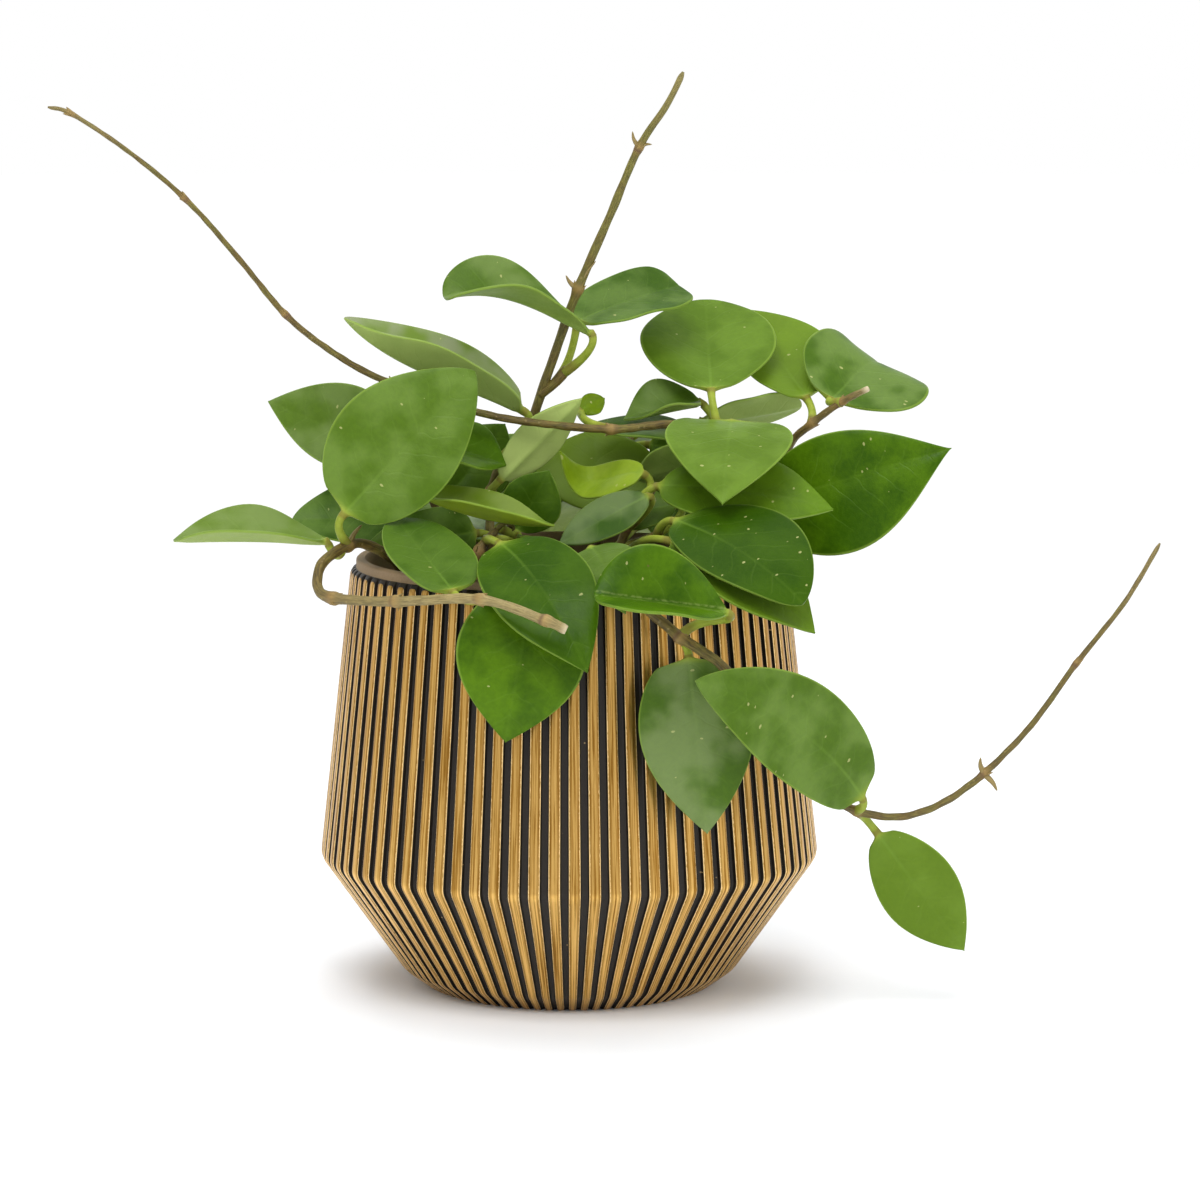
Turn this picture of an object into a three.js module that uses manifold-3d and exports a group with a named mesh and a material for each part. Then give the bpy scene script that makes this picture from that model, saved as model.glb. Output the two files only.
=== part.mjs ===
// A hoya with long bare shoots, growing in a ribbed pot.
// Millimetres, +Z up. The origin is the middle of the pot's foot, X runs to the right
// and Y runs away from the front.

import * as THREE from 'three';
import { mergeVertices } from 'three/addons/utils/BufferGeometryUtils.js';
import Module from 'manifold-3d';

const wasm = await Module();
wasm.setup();

// Pot
const FOOT_RADIUS = 45;
const HEEL_RADIUS = 52.5;
const HEEL_HEIGHT = 5.5;
const BELLY_RADIUS = 77.5;
const BELLY_HEIGHT = 41;
const SHOULDER_RADIUS = 67.5;
const SHOULDER_HEIGHT = 130.5;
const RIM_HEIGHT = 133.5;
const WALL = 3.2;
const FLOOR = 5;
const RIBS = 80;
const RIB_RELIEF = 1.2;
const RIB_PHASE = 0.36;
const RIB_TOP_SHARE = 0.24;
const RIB_ROOT_SHARE = 0.33;
const RIM_SET_BACK = 0.1;
const RIM_SUNK = 2;
const HOLLOW_HEEL_INSET = 2;
const BORE_SIDES = 36;

// Soil
const SOIL_HEIGHT = 117;
const SOIL_MOUND = 3.5;
const SOIL_RINGS = 3;
const SOIL_LUMPS = [[0.6, 2.4, 1.7], [0.4, 4.1, 1]];
const GAP = 0.35;

// Stems
const STEM_SIDES = 6;
const STEM_STEP = 8;
const NODE_SWELL = 1.35;
const NODE_REACH = 2;
const STATION_GAP = 0.03;
const SPUR_SIDES = 4;
const SPUR_RADII = [1.1, 0.8, 0.35];
const SIDE_RADII = [1.5, 1.5, 1.5, 1.7, 1.5];
const FIRST_ACROSS = new THREE.Vector3(0.31, 0.82, 0.47);

// Leaves
const BLADE_STEPS = 6;
const HALF_STEPS = 2;
const MIDRIB_HALF_THICKNESS = 0.85;
const EDGE_HALF_THICKNESS = 0.45;
const BASE_HALF_WIDTH = 1;
const TIP_HALF_WIDTH = 0.5;
const PETIOLE_SIDES = 4;
const PETIOLE_STEPS = 3;
const PETIOLE_RADIUS = 1.35;
const PETIOLE_REACH = 0.94;
const PETIOLE_BEND = 0.45;
const SLOPE_STEP = 0.01;

// Colours
const GOLD = 0xa67c3d;
const EARTH = 0x2a1d15;
const BARK = 0x6b5a2c;
const GREEN = 0x3c7d2f;

// Every stem is a run of points from its root in the soil to its tip. nodes are the
// numbers of the points where leaves or scales grew, spurs are small scales left there,
// as [point, reach x, y, z], and side is a short branch.
const STEMS = [
  {
    name: 'stem_upright',
    points: [[-20, 5, 106], [-19, 5, 118], [-17, 4, 148], [-12.3, 4, 171.5], [-4.1, 2, 196.5],
      [2.8, 0, 215.8], [12.5, 0, 238], [21.5, 0, 259], [30, 0, 272], [35, 0, 282]],
    radius: [1.9, 1],
    nodes: [5, 7],
    spurs: [[5, -3.7, -1, 4.4], [5, 5.6, -1, 8.8], [7, 4, 0, 1], [7, -2, 0, 5]],
    side: [[-9, 3, 183], [-4, 2.2, 187.2], [0, 1.5, 192]],
  },
  {
    name: 'stem_tendril',
    points: [[40, 10, 106], [42, 10, 118], [46, 10, 145], [49, 6, 164], [46, 0, 172.5],
      [32, -8, 175], [13, -14, 174], [-6, -14, 175.5], [-27, -14, 179], [-54, -14, 188],
      [-71, -14, 197], [-86, -14, 209], [-100, -14, 226], [-116, -14, 244], [-134, -14, 259],
      [-150, -14, 269.5], [-157, -14, 271.5]],
    radius: [1.6, 0.65],
    nodes: [4, 6, 9, 11, 13, 15],
    spurs: [],
  },
  {
    name: 'stem_right',
    points: [[55, 12, 106], [56, 11, 118], [58, 10, 132], [62, 10, 146], [68, 8, 166], [75, 4, 174],
      [84, 1, 181], [92, -3, 185.5]],
    radius: [1.9, 1.1],
    nodes: [5, 6],
    spurs: [],
  },
  {
    name: 'stem_trailing',
    points: [[2, -44, 106], [3, -46, 118], [6, -55, 131.5], [12, -65.5, 136.5], [20, -72, 129.5],
      [33, -77, 119], [44, -80, 112], [53, -77, 102], [66, -68, 85], [78, -61, 70],
      [86, -55, 63.5], [100, -46, 60], [113, -40, 63], [126, -34, 71], [141, -28, 85],
      [155, -22, 103], [170, -17, 121], [181, -14, 139]],
    radius: [1.8, 0.7],
    nodes: [5, 10, 13, 15],
    spurs: [[13, 4, -2, -5], [13, -1, 0, 5]],
  },
  {
    name: 'stem_left_front',
    points: [[-45, -13, 106], [-46, -14, 118], [-52, -20, 133], [-60, -29, 140], [-66, -36, 141],
      [-73, -46, 137], [-74, -55, 131], [-69, -62, 128.5], [-50, -70, 128.5], [-25, -84, 131],
      [-6, -93, 126], [0, -94, 123.5]],
    radius: [1.8, 1.5],
    nodes: [4, 7, 8, 9, 10],
    spurs: [[4, 4, 2, 6]],
  },
  {
    name: 'stem_left_inner',
    points: [[-30, 2, 106], [-32, 2, 118], [-38, -2, 140], [-44, -5, 158], [-43, -4, 170]],
    radius: [1.7, 1.1],
    nodes: [2, 3],
    spurs: [],
  },
  {
    name: 'stem_inner',
    points: [[-22, -12, 106], [-22, -12, 118], [-24, -10, 140], [-24, -5, 154], [-20, -5, 165]],
    radius: [1.7, 1.2],
    nodes: [2, 3],
    spurs: [],
  },
  {
    name: 'stem_front_inner',
    points: [[-22, -34, 106], [-23, -35, 118], [-28, -37, 131], [-27, -36, 139], [-21, -33, 146]],
    radius: [1.7, 1.2],
    nodes: [2, 3],
    spurs: [],
  },
  {
    name: 'stem_front_right',
    points: [[12, -18, 106], [12, -17, 118], [14, -16, 132], [18, -16, 144], [23, -17.7, 152],
      [27, -18, 158]],
    radius: [1.7, 1.2],
    nodes: [3, 4],
    spurs: [],
    side: [[14.5, -16, 133], [21, -24, 138.5], [28, -31, 144.5]],
  },
  {
    name: 'stem_back',
    points: [[8, 26, 106], [8, 27, 118], [10, 30, 140], [14, 32, 156], [20, 30, 168]],
    radius: [1.8, 1.2],
    nodes: [2, 3],
    spurs: [],
  },
];

// Every leaf has the point on its stem where the petiole grows, the two ends of its
// midrib, the way its upper face looks, and its width. left and right are the degrees by
// which each half is raised, seen from above with the tip ahead, and skew makes the left
// half the wider one. arch and hook bow the midrib towards the face, hook nearer the tip,
// and sweep bows it to the right. cup bends the edges up and twist turns the blade from
// base to tip. wide is where the blade is widest, baseBlunt and tipSharp shape its ends,
// and bend is the point that the petiole curves towards, or two such points.
const LEAVES = [
  { name: 'leaf_01', stem: 'stem_left_front', from: [-66, -36, 141], base: [-67, -42, 151],
    tip: [-28, -31, 193], face: [-0.1, -1, 0.15], width: 39, skew: 0.12, left: 4, right: 6,
    cup: -0.06, wide: 0.42, tipSharp: 0.72 },
  { name: 'leaf_02', stem: 'stem_left_inner', from: [-44, -5, 158], base: [-50, -6, 163],
    tip: [-92, -8, 182], face: [0.1, -1, 0.5], width: 28, skew: -0.15, left: 8, right: 8 },
  { name: 'leaf_03', stem: 'stem_left_front', from: [-68, -38.8, 139.9], base: [-72.5, -35, 142],
    tip: [-119, -32, 142], face: [0, -0.12, 1], width: 28, left: 24, right: 36, arch: 0.02,
    wide: 0.57, tipSharp: 0.75, bend: [[-69.5, -34, 135]] },
  { name: 'leaf_04', stem: 'stem_left_inner', from: [-38, -2, 140], base: [-48, -5, 144.7],
    tip: [-85, -9, 145.6], face: [0, -0.75, 0.7], width: 23, skew: -0.12, left: 10, right: 10,
    tipSharp: 0.7 },
  { name: 'leaf_05', stem: 'stem_inner', from: [-20, -5, 165], base: [-14, -7, 179],
    tip: [-68, -14, 208], face: [0.5, -0.05, 0.9], width: 28, left: 46, right: 60, hook: -0.05,
    baseBlunt: 0.45, tipSharp: 0.6 },
  { name: 'leaf_06', stem: 'stem_upright', from: [-1.5, 1.8, 190], base: [7, -4, 202.5],
    tip: [-38, -10, 214], face: [0.25, -0.1, 1], width: 28, left: 30, right: 40, arch: 0.07,
    hook: 0.04, twist: -36, wide: 0.66, baseBlunt: 0.5, tipSharp: 0.42, bend: [[9.5, -4.5, 198]] },
  { name: 'leaf_07', stem: 'stem_upright', from: [-4, 2.2, 187.2], base: [2.5, 9, 205],
    tip: [34.5, 26, 215], face: [-0.1, -0.35, 1], width: 30, left: 16, right: 4, twist: 10,
    arch: 0.02, wide: 0.6, baseBlunt: 0.24, tipSharp: 0.2, bend: [[1, 7.5, 193]] },
  { name: 'leaf_08', stem: 'stem_tendril', from: [46, 0, 172.5], base: [44, 6, 184],
    tip: [43, 42, 210], face: [0, -0.62, 0.8], width: 43, left: 6, right: 6, tipSharp: 0.55,
    wide: 0.5 },
  { name: 'leaf_09', stem: 'stem_right', from: [75, 4, 174], base: [74, 14, 181],
    tip: [55, 44, 207], face: [0.15, -0.75, 0.7], width: 31, skew: -0.2, left: 5, right: 5 },
  { name: 'leaf_10', stem: 'stem_right', from: [84, 1, 181], base: [81, 8, 181],
    tip: [99, 38, 188], face: [-0.1, -0.65, 0.78], width: 43, skew: -0.1, left: 26, right: -4,
    hook: 0.14, baseBlunt: 0.5, tipSharp: 0.5, wide: 0.5 },
  { name: 'leaf_11', stem: 'stem_right', from: [61, 10, 143], base: [58, 2, 148],
    tip: [117, -12, 168], face: [0, -1, 0.3], width: 38, skew: -0.19, left: 6, right: 4,
    arch: 0.03, wide: 0.42, tipSharp: 1.1 },
  { name: 'leaf_12', stem: 'stem_tendril', from: [47.2, 2.3, 169.3], base: [50, -4, 175],
    tip: [46, -47, 154.5], face: [0, -0.6, 0.8], width: 39, left: 4, right: 4, arch: 0.1,
    wide: 0.36, baseBlunt: 0.36, tipSharp: 1 },
  { name: 'leaf_13', stem: 'stem_front_right', from: [21, -17, 149], base: [27, -19.5, 157],
    tip: [80, -29, 151], face: [0, -0.55, 0.85], width: 33, left: 6, right: 6, arch: 0.04,
    bend: [[21.5, -20.5, 155.5]] },
  { name: 'leaf_14', stem: 'stem_front_right', from: [27, -30, 143.7], base: [32, -39, 148.6],
    tip: [69, -69, 127.5], face: [0.1, -0.7, 0.7], width: 37, skew: 0.26, left: -8, right: 6,
    arch: 0.09, wide: 0.47, tipSharp: 0.62 },
  { name: 'leaf_15', stem: 'stem_front_right', from: [17, -19.5, 135], base: [31, -40, 142.5],
    tip: [73, -62, 118], face: [0.1, -0.6, 0.8], width: 32, left: 6, right: 16, arch: 0.08 },
  { name: 'leaf_16', stem: 'stem_trailing', from: [33, -77, 119], base: [47, -84, 127],
    tip: [8, -86, 132.5], face: [0, -0.45, 0.9], width: 36, left: 26, right: 50, wide: 0.6,
    tipSharp: 0.5, bend: [[38, -74, 126], [50, -76, 122]] },
  { name: 'leaf_17', stem: 'stem_front_inner', from: [-24.5, -34.8, 142.5], base: [-20, -51, 143],
    tip: [6, -90, 110.5], face: [0, -0.75, 0.7], width: 32, left: 4, right: 4, arch: 0.14,
    baseBlunt: 0.5 },
  { name: 'leaf_18', stem: 'stem_trailing', from: [5, -53, 131], base: [-9.5, -68, 134.5],
    tip: [-18, -77, 88], face: [0, -1, 0.2], width: 38, left: 4, right: 4, arch: 0.1 },
  { name: 'leaf_19', stem: 'stem_trailing', from: [33, -77, 119], base: [35.5, -75, 113],
    tip: [41, -78, 61], face: [0, -1, 0.1], width: 34, left: -8, right: -8, arch: 0.04,
    wide: 0.4, baseBlunt: 0.45 },
  { name: 'leaf_20', stem: 'stem_trailing', from: [86, -55, 63.5], base: [87.3, -62, 68.5],
    tip: [37, -96, 109], face: [0, -1, 0.3], width: 30, left: 4, right: 4, arch: 0.05,
    sweep: 0.07, wide: 0.44, baseBlunt: 0.45, tipSharp: 0.75 },
  { name: 'leaf_21', stem: 'stem_trailing', from: [86, -55, 63.5], base: [93, -46, 55],
    tip: [120, -42, 18], face: [0, -1, 0.1], width: 24, left: 4, right: 4, arch: 0.03 },
  { name: 'leaf_22', stem: 'stem_left_front', from: [-25, -84, 131], base: [-33.3, -73.5, 131.6],
    tip: [-51.5, -38, 149], face: [0.15, -0.5, 0.6], width: 25, skew: -0.13, left: 5, right: 5,
    wide: 0.46, baseBlunt: 0.42, tipSharp: 0.45 },
  { name: 'leaf_23', stem: 'stem_left_inner', from: [-42, -4.2, 152.5], base: [-46, -22, 156],
    tip: [-4, -44, 148], face: [0, -0.1, 1], width: 20, left: 34, right: 34, arch: -0.05,
    twist: -30 },
  { name: 'leaf_24', stem: 'stem_inner', from: [-24, -5, 154], base: [-21, -9, 158],
    tip: [4, -8, 183], face: [-0.25, 0.9, 0.25], width: 15, left: 8, right: 8 },
  { name: 'leaf_25', stem: 'stem_back', from: [10, 30, 140], base: [9, 10, 146],
    tip: [8, 24, 170], face: [0, -0.8, 0.6], width: 38, left: 5, right: 5, tipSharp: 0.6,
    wide: 0.5 },
  { name: 'leaf_26', stem: 'stem_front_right', from: [24.2, -17.8, 153.8], base: [23, -17, 160.5],
    tip: [-2.5, -12, 167], face: [0.15, -0.75, 0.65], width: 15, skew: 0.2, left: 10, right: 10,
    hook: -0.4, wide: 0.42, baseBlunt: 0.5, tipSharp: 0.7, bend: [[26.5, -15, 158]] },
  { name: 'leaf_27', stem: 'stem_front_right', from: [18, -16, 144], base: [24.3, -28, 155],
    tip: [-3, -36, 141], face: [0.2, -0.6, 0.8], width: 15.5, left: 8, right: 8,
    bend: [[28, -24, 153]] },
  { name: 'leaf_28', stem: 'stem_left_inner', from: [-43, -4, 170], base: [-42, -14, 170],
    tip: [-19, -15, 163], face: [0.2, -0.55, 1], width: 27, left: 14, right: 20 },
  { name: 'leaf_29', stem: 'stem_tendril', from: [49, 6, 164], base: [41, 14, 180],
    tip: [17, 8, 175], face: [0, -0.3, 1], width: 23, left: 30, right: 40, bend: [[47, 14, 174]] },
  { name: 'leaf_30', stem: 'stem_tendril', from: [47.5, 9, 155], base: [41, 20, 173.5],
    tip: [73, 26, 178], face: [0, 0.55, 0.8], width: 19, left: 5, right: 5, wide: 0.55,
    tipSharp: 0.45, bend: [[41, 18, 163]] },
  { name: 'leaf_31', stem: 'stem_tendril', from: [13, -14, 174], base: [3.5, 0, 178.5],
    tip: [11, 5, 181.8], face: [0.3, -0.8, 0.5], width: 7.5, left: 10, right: 10,
    bend: [[3.5, -11, 175.5]] },
  { name: 'leaf_32', stem: 'stem_tendril', from: [46, 0, 172.5], base: [38, 7, 171],
    tip: [6, 12, 173], face: [0, -0.3, 1], width: 20, left: 6, right: 6 },
  { name: 'leaf_33', stem: 'stem_tendril', from: [49, 6, 164], base: [42, 0, 164],
    tip: [20, 4, 157], face: [0, 0.7, 0.6], width: 18, left: 5, right: 5 },
  { name: 'leaf_34', stem: 'stem_left_inner', from: [-35.2, -0.2, 130], base: [-38, 6, 150],
    tip: [-20, 15, 173], face: [0, -0.9, 0.4], width: 26, left: 8, right: 8,
    bend: [[-47, 3, 141]] },
  { name: 'leaf_35', stem: 'stem_inner', from: [-24, -10, 140], base: [-16, -8, 142],
    tip: [-6, -10, 161], face: [0.2, -0.9, 0.3], width: 19, left: 8, right: 8 },
  { name: 'leaf_36', stem: 'stem_inner', from: [-24, -10, 140], base: [-28, -13, 142],
    tip: [-62.5, -19, 138.5], face: [0, -0.5, 0.9], width: 18, left: 6, right: 6, wide: 0.36 },
  { name: 'leaf_37', stem: 'stem_front_inner', from: [-21, -33, 146], base: [-15, -30, 143],
    tip: [2, -41, 137.5], face: [0, 0.3, 0.9], width: 15, left: 6, right: 6 },
  { name: 'leaf_38', stem: 'stem_trailing', from: [4, -49.5, 124], base: [7, -46, 141],
    tip: [17, -78, 126], face: [-0.2, -0.5, 0.85], width: 20, left: 5, right: 5, arch: 0.14 },
  { name: 'leaf_39', stem: 'stem_front_right', from: [16, -16, 138], base: [33, -8, 150],
    tip: [10, -10, 146], face: [0, -0.7, 0.7], width: 15, left: 8, right: 8,
    bend: [[30, -12, 140], [39, -8, 150]] },
  { name: 'leaf_40', stem: 'stem_left_inner', from: [-38, -2, 140], base: [-40, 14, 146],
    tip: [-66, 44, 148], face: [-0.1, -0.4, 1], width: 30, left: 8, right: 8, arch: 0.06 },
  { name: 'leaf_41', stem: 'stem_back', from: [10, 30, 140], base: [4, 44, 146],
    tip: [-8, 88, 128], face: [0, 0.4, 0.9], width: 34, left: 6, right: 6, arch: 0.12 },
  { name: 'leaf_42', stem: 'stem_back', from: [14, 32, 156], base: [25, 40, 157],
    tip: [56, 66, 144], face: [0.2, 0.2, 1], width: 32, left: 6, right: 6, arch: 0.1 },
  { name: 'leaf_43', stem: 'stem_back', from: [14, 32, 156], base: [2, 34, 153],
    tip: [-38, 32, 154], face: [0, -0.75, 0.7], width: 32, left: 8, right: 8, arch: 0.05 },
  { name: 'leaf_44', stem: 'stem_back', from: [20, 30, 168], base: [22, 38, 168],
    tip: [14, 74, 156], face: [0, 0.3, 1], width: 28, left: 8, right: 8, arch: 0.08 },
  { name: 'leaf_45', stem: 'stem_tendril', from: [43.5, 10, 128], base: [43, 15, 140],
    tip: [20, 9, 151], face: [0, -0.9, 0.4], width: 21, left: 8, right: 8, bend: [[48, 15, 136]] },
  { name: 'leaf_46', stem: 'stem_back', from: [17, 31, 162], base: [25, 25, 165.5],
    tip: [50, 20, 162], face: [0, -0.8, 0.5], width: 22, left: 8, right: 8 },
  { name: 'leaf_47', stem: 'stem_left_inner', from: [-33.2, 1.4, 123], base: [-24, 20, 135],
    tip: [-38, 66, 137], face: [-0.1, 0.2, 1], width: 32, left: 8, right: 8, arch: 0.06 },
  { name: 'leaf_48', stem: 'stem_back', from: [8.4, 27.9, 126], base: [20, 38, 137],
    tip: [34, 82, 124], face: [0, 0.3, 1], width: 33, left: 8, right: 8, arch: 0.12 },
];

// Points of a smooth curve through the given points, u counting them from 0.
function curvePoint(points, u) {
  const last = points.length - 1;
  const k = Math.min(Math.floor(u), last - 1);
  const f = u - k;
  const p1 = points[k];
  const p2 = points[k + 1];
  const before = k > 0 ? points[k - 1] : p1.map((v, i) => 2 * v - p2[i]);
  const after = k + 2 <= last ? points[k + 2] : p2.map((v, i) => 2 * v - p1[i]);
  const place = p1.map((v, i) => {
    const leave = (p2[i] - before[i]) / 2;
    const arrive = (after[i] - v) / 2;
    const c2 = 3 * (p2[i] - v) - 2 * leave - arrive;
    const c3 = 2 * (v - p2[i]) + leave + arrive;
    return v + leave * f + c2 * f * f + c3 * f * f * f;
  });
  return new THREE.Vector3(...place);
}

function closedMesh(places, faces) {
  const geometry = new THREE.BufferGeometry();
  const numbers = places.flatMap((p) => [p.x, p.y, p.z]);
  geometry.setAttribute('position', new THREE.Float32BufferAttribute(numbers, 3));
  geometry.setIndex(faces.flat());
  return geometry;
}

function toSolid(geometry) {
  const bare = geometry.clone();
  bare.deleteAttribute('normal');
  bare.deleteAttribute('uv');
  const merged = mergeVertices(bare, 1e-4);
  return new wasm.Manifold(new wasm.Mesh({
    numProp: 3,
    vertProperties: new Float32Array(merged.attributes.position.array),
    triVerts: new Uint32Array(merged.index.array),
  }));
}

function toGeometry(solid) {
  const mesh = solid.getMesh();
  const geometry = new THREE.BufferGeometry();
  geometry.setAttribute('position', new THREE.Float32BufferAttribute(mesh.vertProperties, 3));
  geometry.setIndex(Array.from(mesh.triVerts));
  return geometry;
}

// Closed skin over rings of equally many points, each ring anticlockwise seen from ahead.
function loft(rings) {
  const sides = rings[0].length;
  const places = rings.flat();
  const faces = [];
  for (let r = 0; r + 1 < rings.length; r += 1) {
    for (let s = 0; s < sides; s += 1) {
      const next = (s + 1) % sides;
      const a = r * sides + s;
      const b = r * sides + next;
      const c = a + sides;
      const d = b + sides;
      faces.push([a, b, d], [a, d, c]);
    }
  }
  const top = (rings.length - 1) * sides;
  for (let s = 1; s + 1 < sides; s += 1) {
    faces.push([0, s + 1, s], [top, top + s, top + s + 1]);
  }
  return closedMesh(places, faces);
}

// Tube through places with a radius at each, its section kept from turning.
function tube(places, radii, sides) {
  const count = places.length;
  const rings = [];
  let across = FIRST_ACROSS;
  places.forEach((place, i) => {
    const ahead = places[Math.min(i + 1, count - 1)].clone()
      .sub(places[Math.max(i - 1, 0)]).normalize();
    across = across.clone().addScaledVector(ahead, -across.dot(ahead)).normalize();
    const up = ahead.clone().cross(across);
    const ring = [];
    for (let s = 0; s < sides; s += 1) {
      const angle = (2 * Math.PI * s) / sides;
      ring.push(place.clone()
        .addScaledVector(across, radii[i] * Math.cos(angle))
        .addScaledVector(up, radii[i] * Math.sin(angle)));
    }
    rings.push(ring);
  });
  return loft(rings);
}

// The stations of a stem: steps of about STEM_STEP, and three close together at a node.
function stations(stem) {
  const found = [];
  for (let k = 0; k + 1 < stem.points.length; k += 1) {
    const a = new THREE.Vector3(...stem.points[k]);
    const reach = a.distanceTo(new THREE.Vector3(...stem.points[k + 1]));
    const near = NODE_REACH / reach;
    if (stem.nodes.includes(k)) {
      found.push([k, 1], [k + near, 0]);
    } else {
      found.push([k, 0]);
    }
    const steps = Math.round(reach / STEM_STEP);
    for (let s = 1; s < steps; s += 1) {
      found.push([k + s / steps, 0]);
    }
    if (stem.nodes.includes(k + 1)) {
      found.push([k + 1 - near, 0]);
    }
  }
  found.push([stem.points.length - 1, 0]);
  const sorted = found.sort((p, q) => p[0] - q[0]);
  return sorted.filter(([u, swell], i) => {
    const clear = sorted.every(([v, other], j) => (
      i === j || other === 0 || Math.abs(u - v) > STATION_GAP));
    return swell === 1 || clear;
  });
}

function stemTube(stem, grow) {
  const last = stem.points.length - 1;
  const [thick, thin] = stem.radius;
  const places = [];
  const radii = [];
  stations(stem).forEach(([u, swell]) => {
    const plain = thick + (thin - thick) * (u / last);
    places.push(curvePoint(stem.points, u));
    radii.push(plain * (swell ? NODE_SWELL : 1) + grow);
  });
  const down = places[0].clone().sub(places[1]).normalize();
  places[0].addScaledVector(down, grow);
  return toSolid(tube(places, radii, STEM_SIDES));
}

function spur(stem, [point, x, y, z], grow) {
  const root = new THREE.Vector3(...stem.points[point]);
  const end = root.clone().add(new THREE.Vector3(x, y, z));
  const middle = root.clone().lerp(end, 0.5);
  return toSolid(tube([root, middle, end], SPUR_RADII.map((r) => r + grow), SPUR_SIDES));
}

function stemSolid(stem, grow) {
  let solid = stemTube(stem, grow);
  stem.spurs.forEach((one) => {
    solid = solid.add(spur(stem, one, grow));
  });
  if (stem.side) {
    const places = SIDE_RADII.map((r, i) => curvePoint(stem.side, i / 2));
    const radii = SIDE_RADII.map((r) => r + grow);
    solid = solid.add(toSolid(tube(places, radii, STEM_SIDES)));
  }
  return solid;
}

// Half-width of a blade as a share of its widest, t from base to tip.
function outline(leaf, t) {
  const wide = leaf.wide ?? 0.46;
  const power = Math.log(0.5) / Math.log(wide);
  const blunt = leaf.baseBlunt ?? 0.6;
  const sharp = leaf.tipSharp ?? 0.92;
  const sine = Math.sin(Math.PI * Math.min(t, 1) ** power);
  return Math.max(sine, 0) ** (blunt + (sharp - blunt) * t);
}

// The blade's middle surface: t runs from base to tip, s from the left edge to the right.
function bladeSurface(leaf) {
  const base = new THREE.Vector3(...leaf.base);
  const along = new THREE.Vector3(...leaf.tip).sub(base);
  const length = along.length();
  along.normalize();
  const face = new THREE.Vector3(...leaf.face);
  face.addScaledVector(along, -face.dot(along)).normalize();
  const side = along.clone().cross(face);
  const arch = leaf.arch ?? 0;
  const hook = leaf.hook ?? 0;
  const sweep = leaf.sweep ?? 0;

  const midrib = (t) => {
    const bow = 4 * t * (1 - t);
    const late = 6.75 * t * t * (1 - t);
    return base.clone()
      .addScaledVector(along, length * t)
      .addScaledVector(face, length * (arch * bow + hook * late))
      .addScaledVector(side, length * sweep * bow);
  };

  const surface = (t, s) => {
    const ahead = midrib(t + SLOPE_STEP).sub(midrib(t - SLOPE_STEP)).normalize();
    const up = face.clone().addScaledVector(ahead, -face.dot(ahead)).normalize();
    up.applyAxisAngle(ahead, THREE.MathUtils.degToRad((leaf.twist ?? 0) * (t - 0.5)));
    const right = ahead.clone().cross(up);
    const share = outline(leaf, Math.max(t, 0));
    const least = BASE_HALF_WIDTH + (TIP_HALF_WIDTH - BASE_HALF_WIDTH) * t;
    const lean = 1 + (leaf.skew ?? 0) * (s < 0 ? 1 : -1);
    const half = Math.max((leaf.width / 2) * lean * share, least);
    const raised = s < 0 ? leaf.left : leaf.right;
    const rise = THREE.MathUtils.degToRad(raised) * Math.sqrt(share);
    const out = Math.abs(s);
    return midrib(t)
      .addScaledVector(right, half * s * Math.cos(rise))
      .addScaledVector(up, half * (out * Math.sin(rise) + (leaf.cup ?? 0) * out * out));
  };
  return { midrib, surface };
}

// Triangles between two loops of vertex numbers that run the same way round.
function stitch(first, second) {
  const faces = [];
  let i = 0;
  let j = 0;
  while (i < first.length || j < second.length) {
    const a = first[i % first.length];
    const b = second[j % second.length];
    const ahead = (i + 1) / first.length <= (j + 1) / second.length;
    if (ahead) {
      i += 1;
      faces.push([a, first[i % first.length], b]);
    } else {
      j += 1;
      faces.push([a, second[j % second.length], b]);
    }
  }
  return faces;
}

// The blade's upper and lower skins, each vertex at half the thickness from the middle.
function bladeSkins(leaf) {
  const { surface } = bladeSurface(leaf);
  const step = SLOPE_STEP;
  const upper = [];
  const lower = [];
  for (let i = 0; i <= BLADE_STEPS; i += 1) {
    const t = (1 - Math.cos((Math.PI * i) / BLADE_STEPS)) / 2;
    for (let j = 0; j <= 2 * HALF_STEPS; j += 1) {
      const s = j / HALF_STEPS - 1;
      const place = surface(t, s);
      const forward = surface(t + step, s).sub(surface(t - step, s));
      const sideways = surface(t, Math.min(s + step, 1)).sub(surface(t, Math.max(s - step, -1)));
      const normal = sideways.cross(forward).normalize();
      const inner = MIDRIB_HALF_THICKNESS - EDGE_HALF_THICKNESS;
      const fade = Math.min(outline(leaf, t) * 2, 1);
      const half = EDGE_HALF_THICKNESS + inner * (1 - Math.abs(s)) * fade;
      upper.push(place.clone().addScaledVector(normal, half));
      lower.push(place.clone().addScaledVector(normal, -half));
    }
  }
  return { upper, lower };
}

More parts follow.
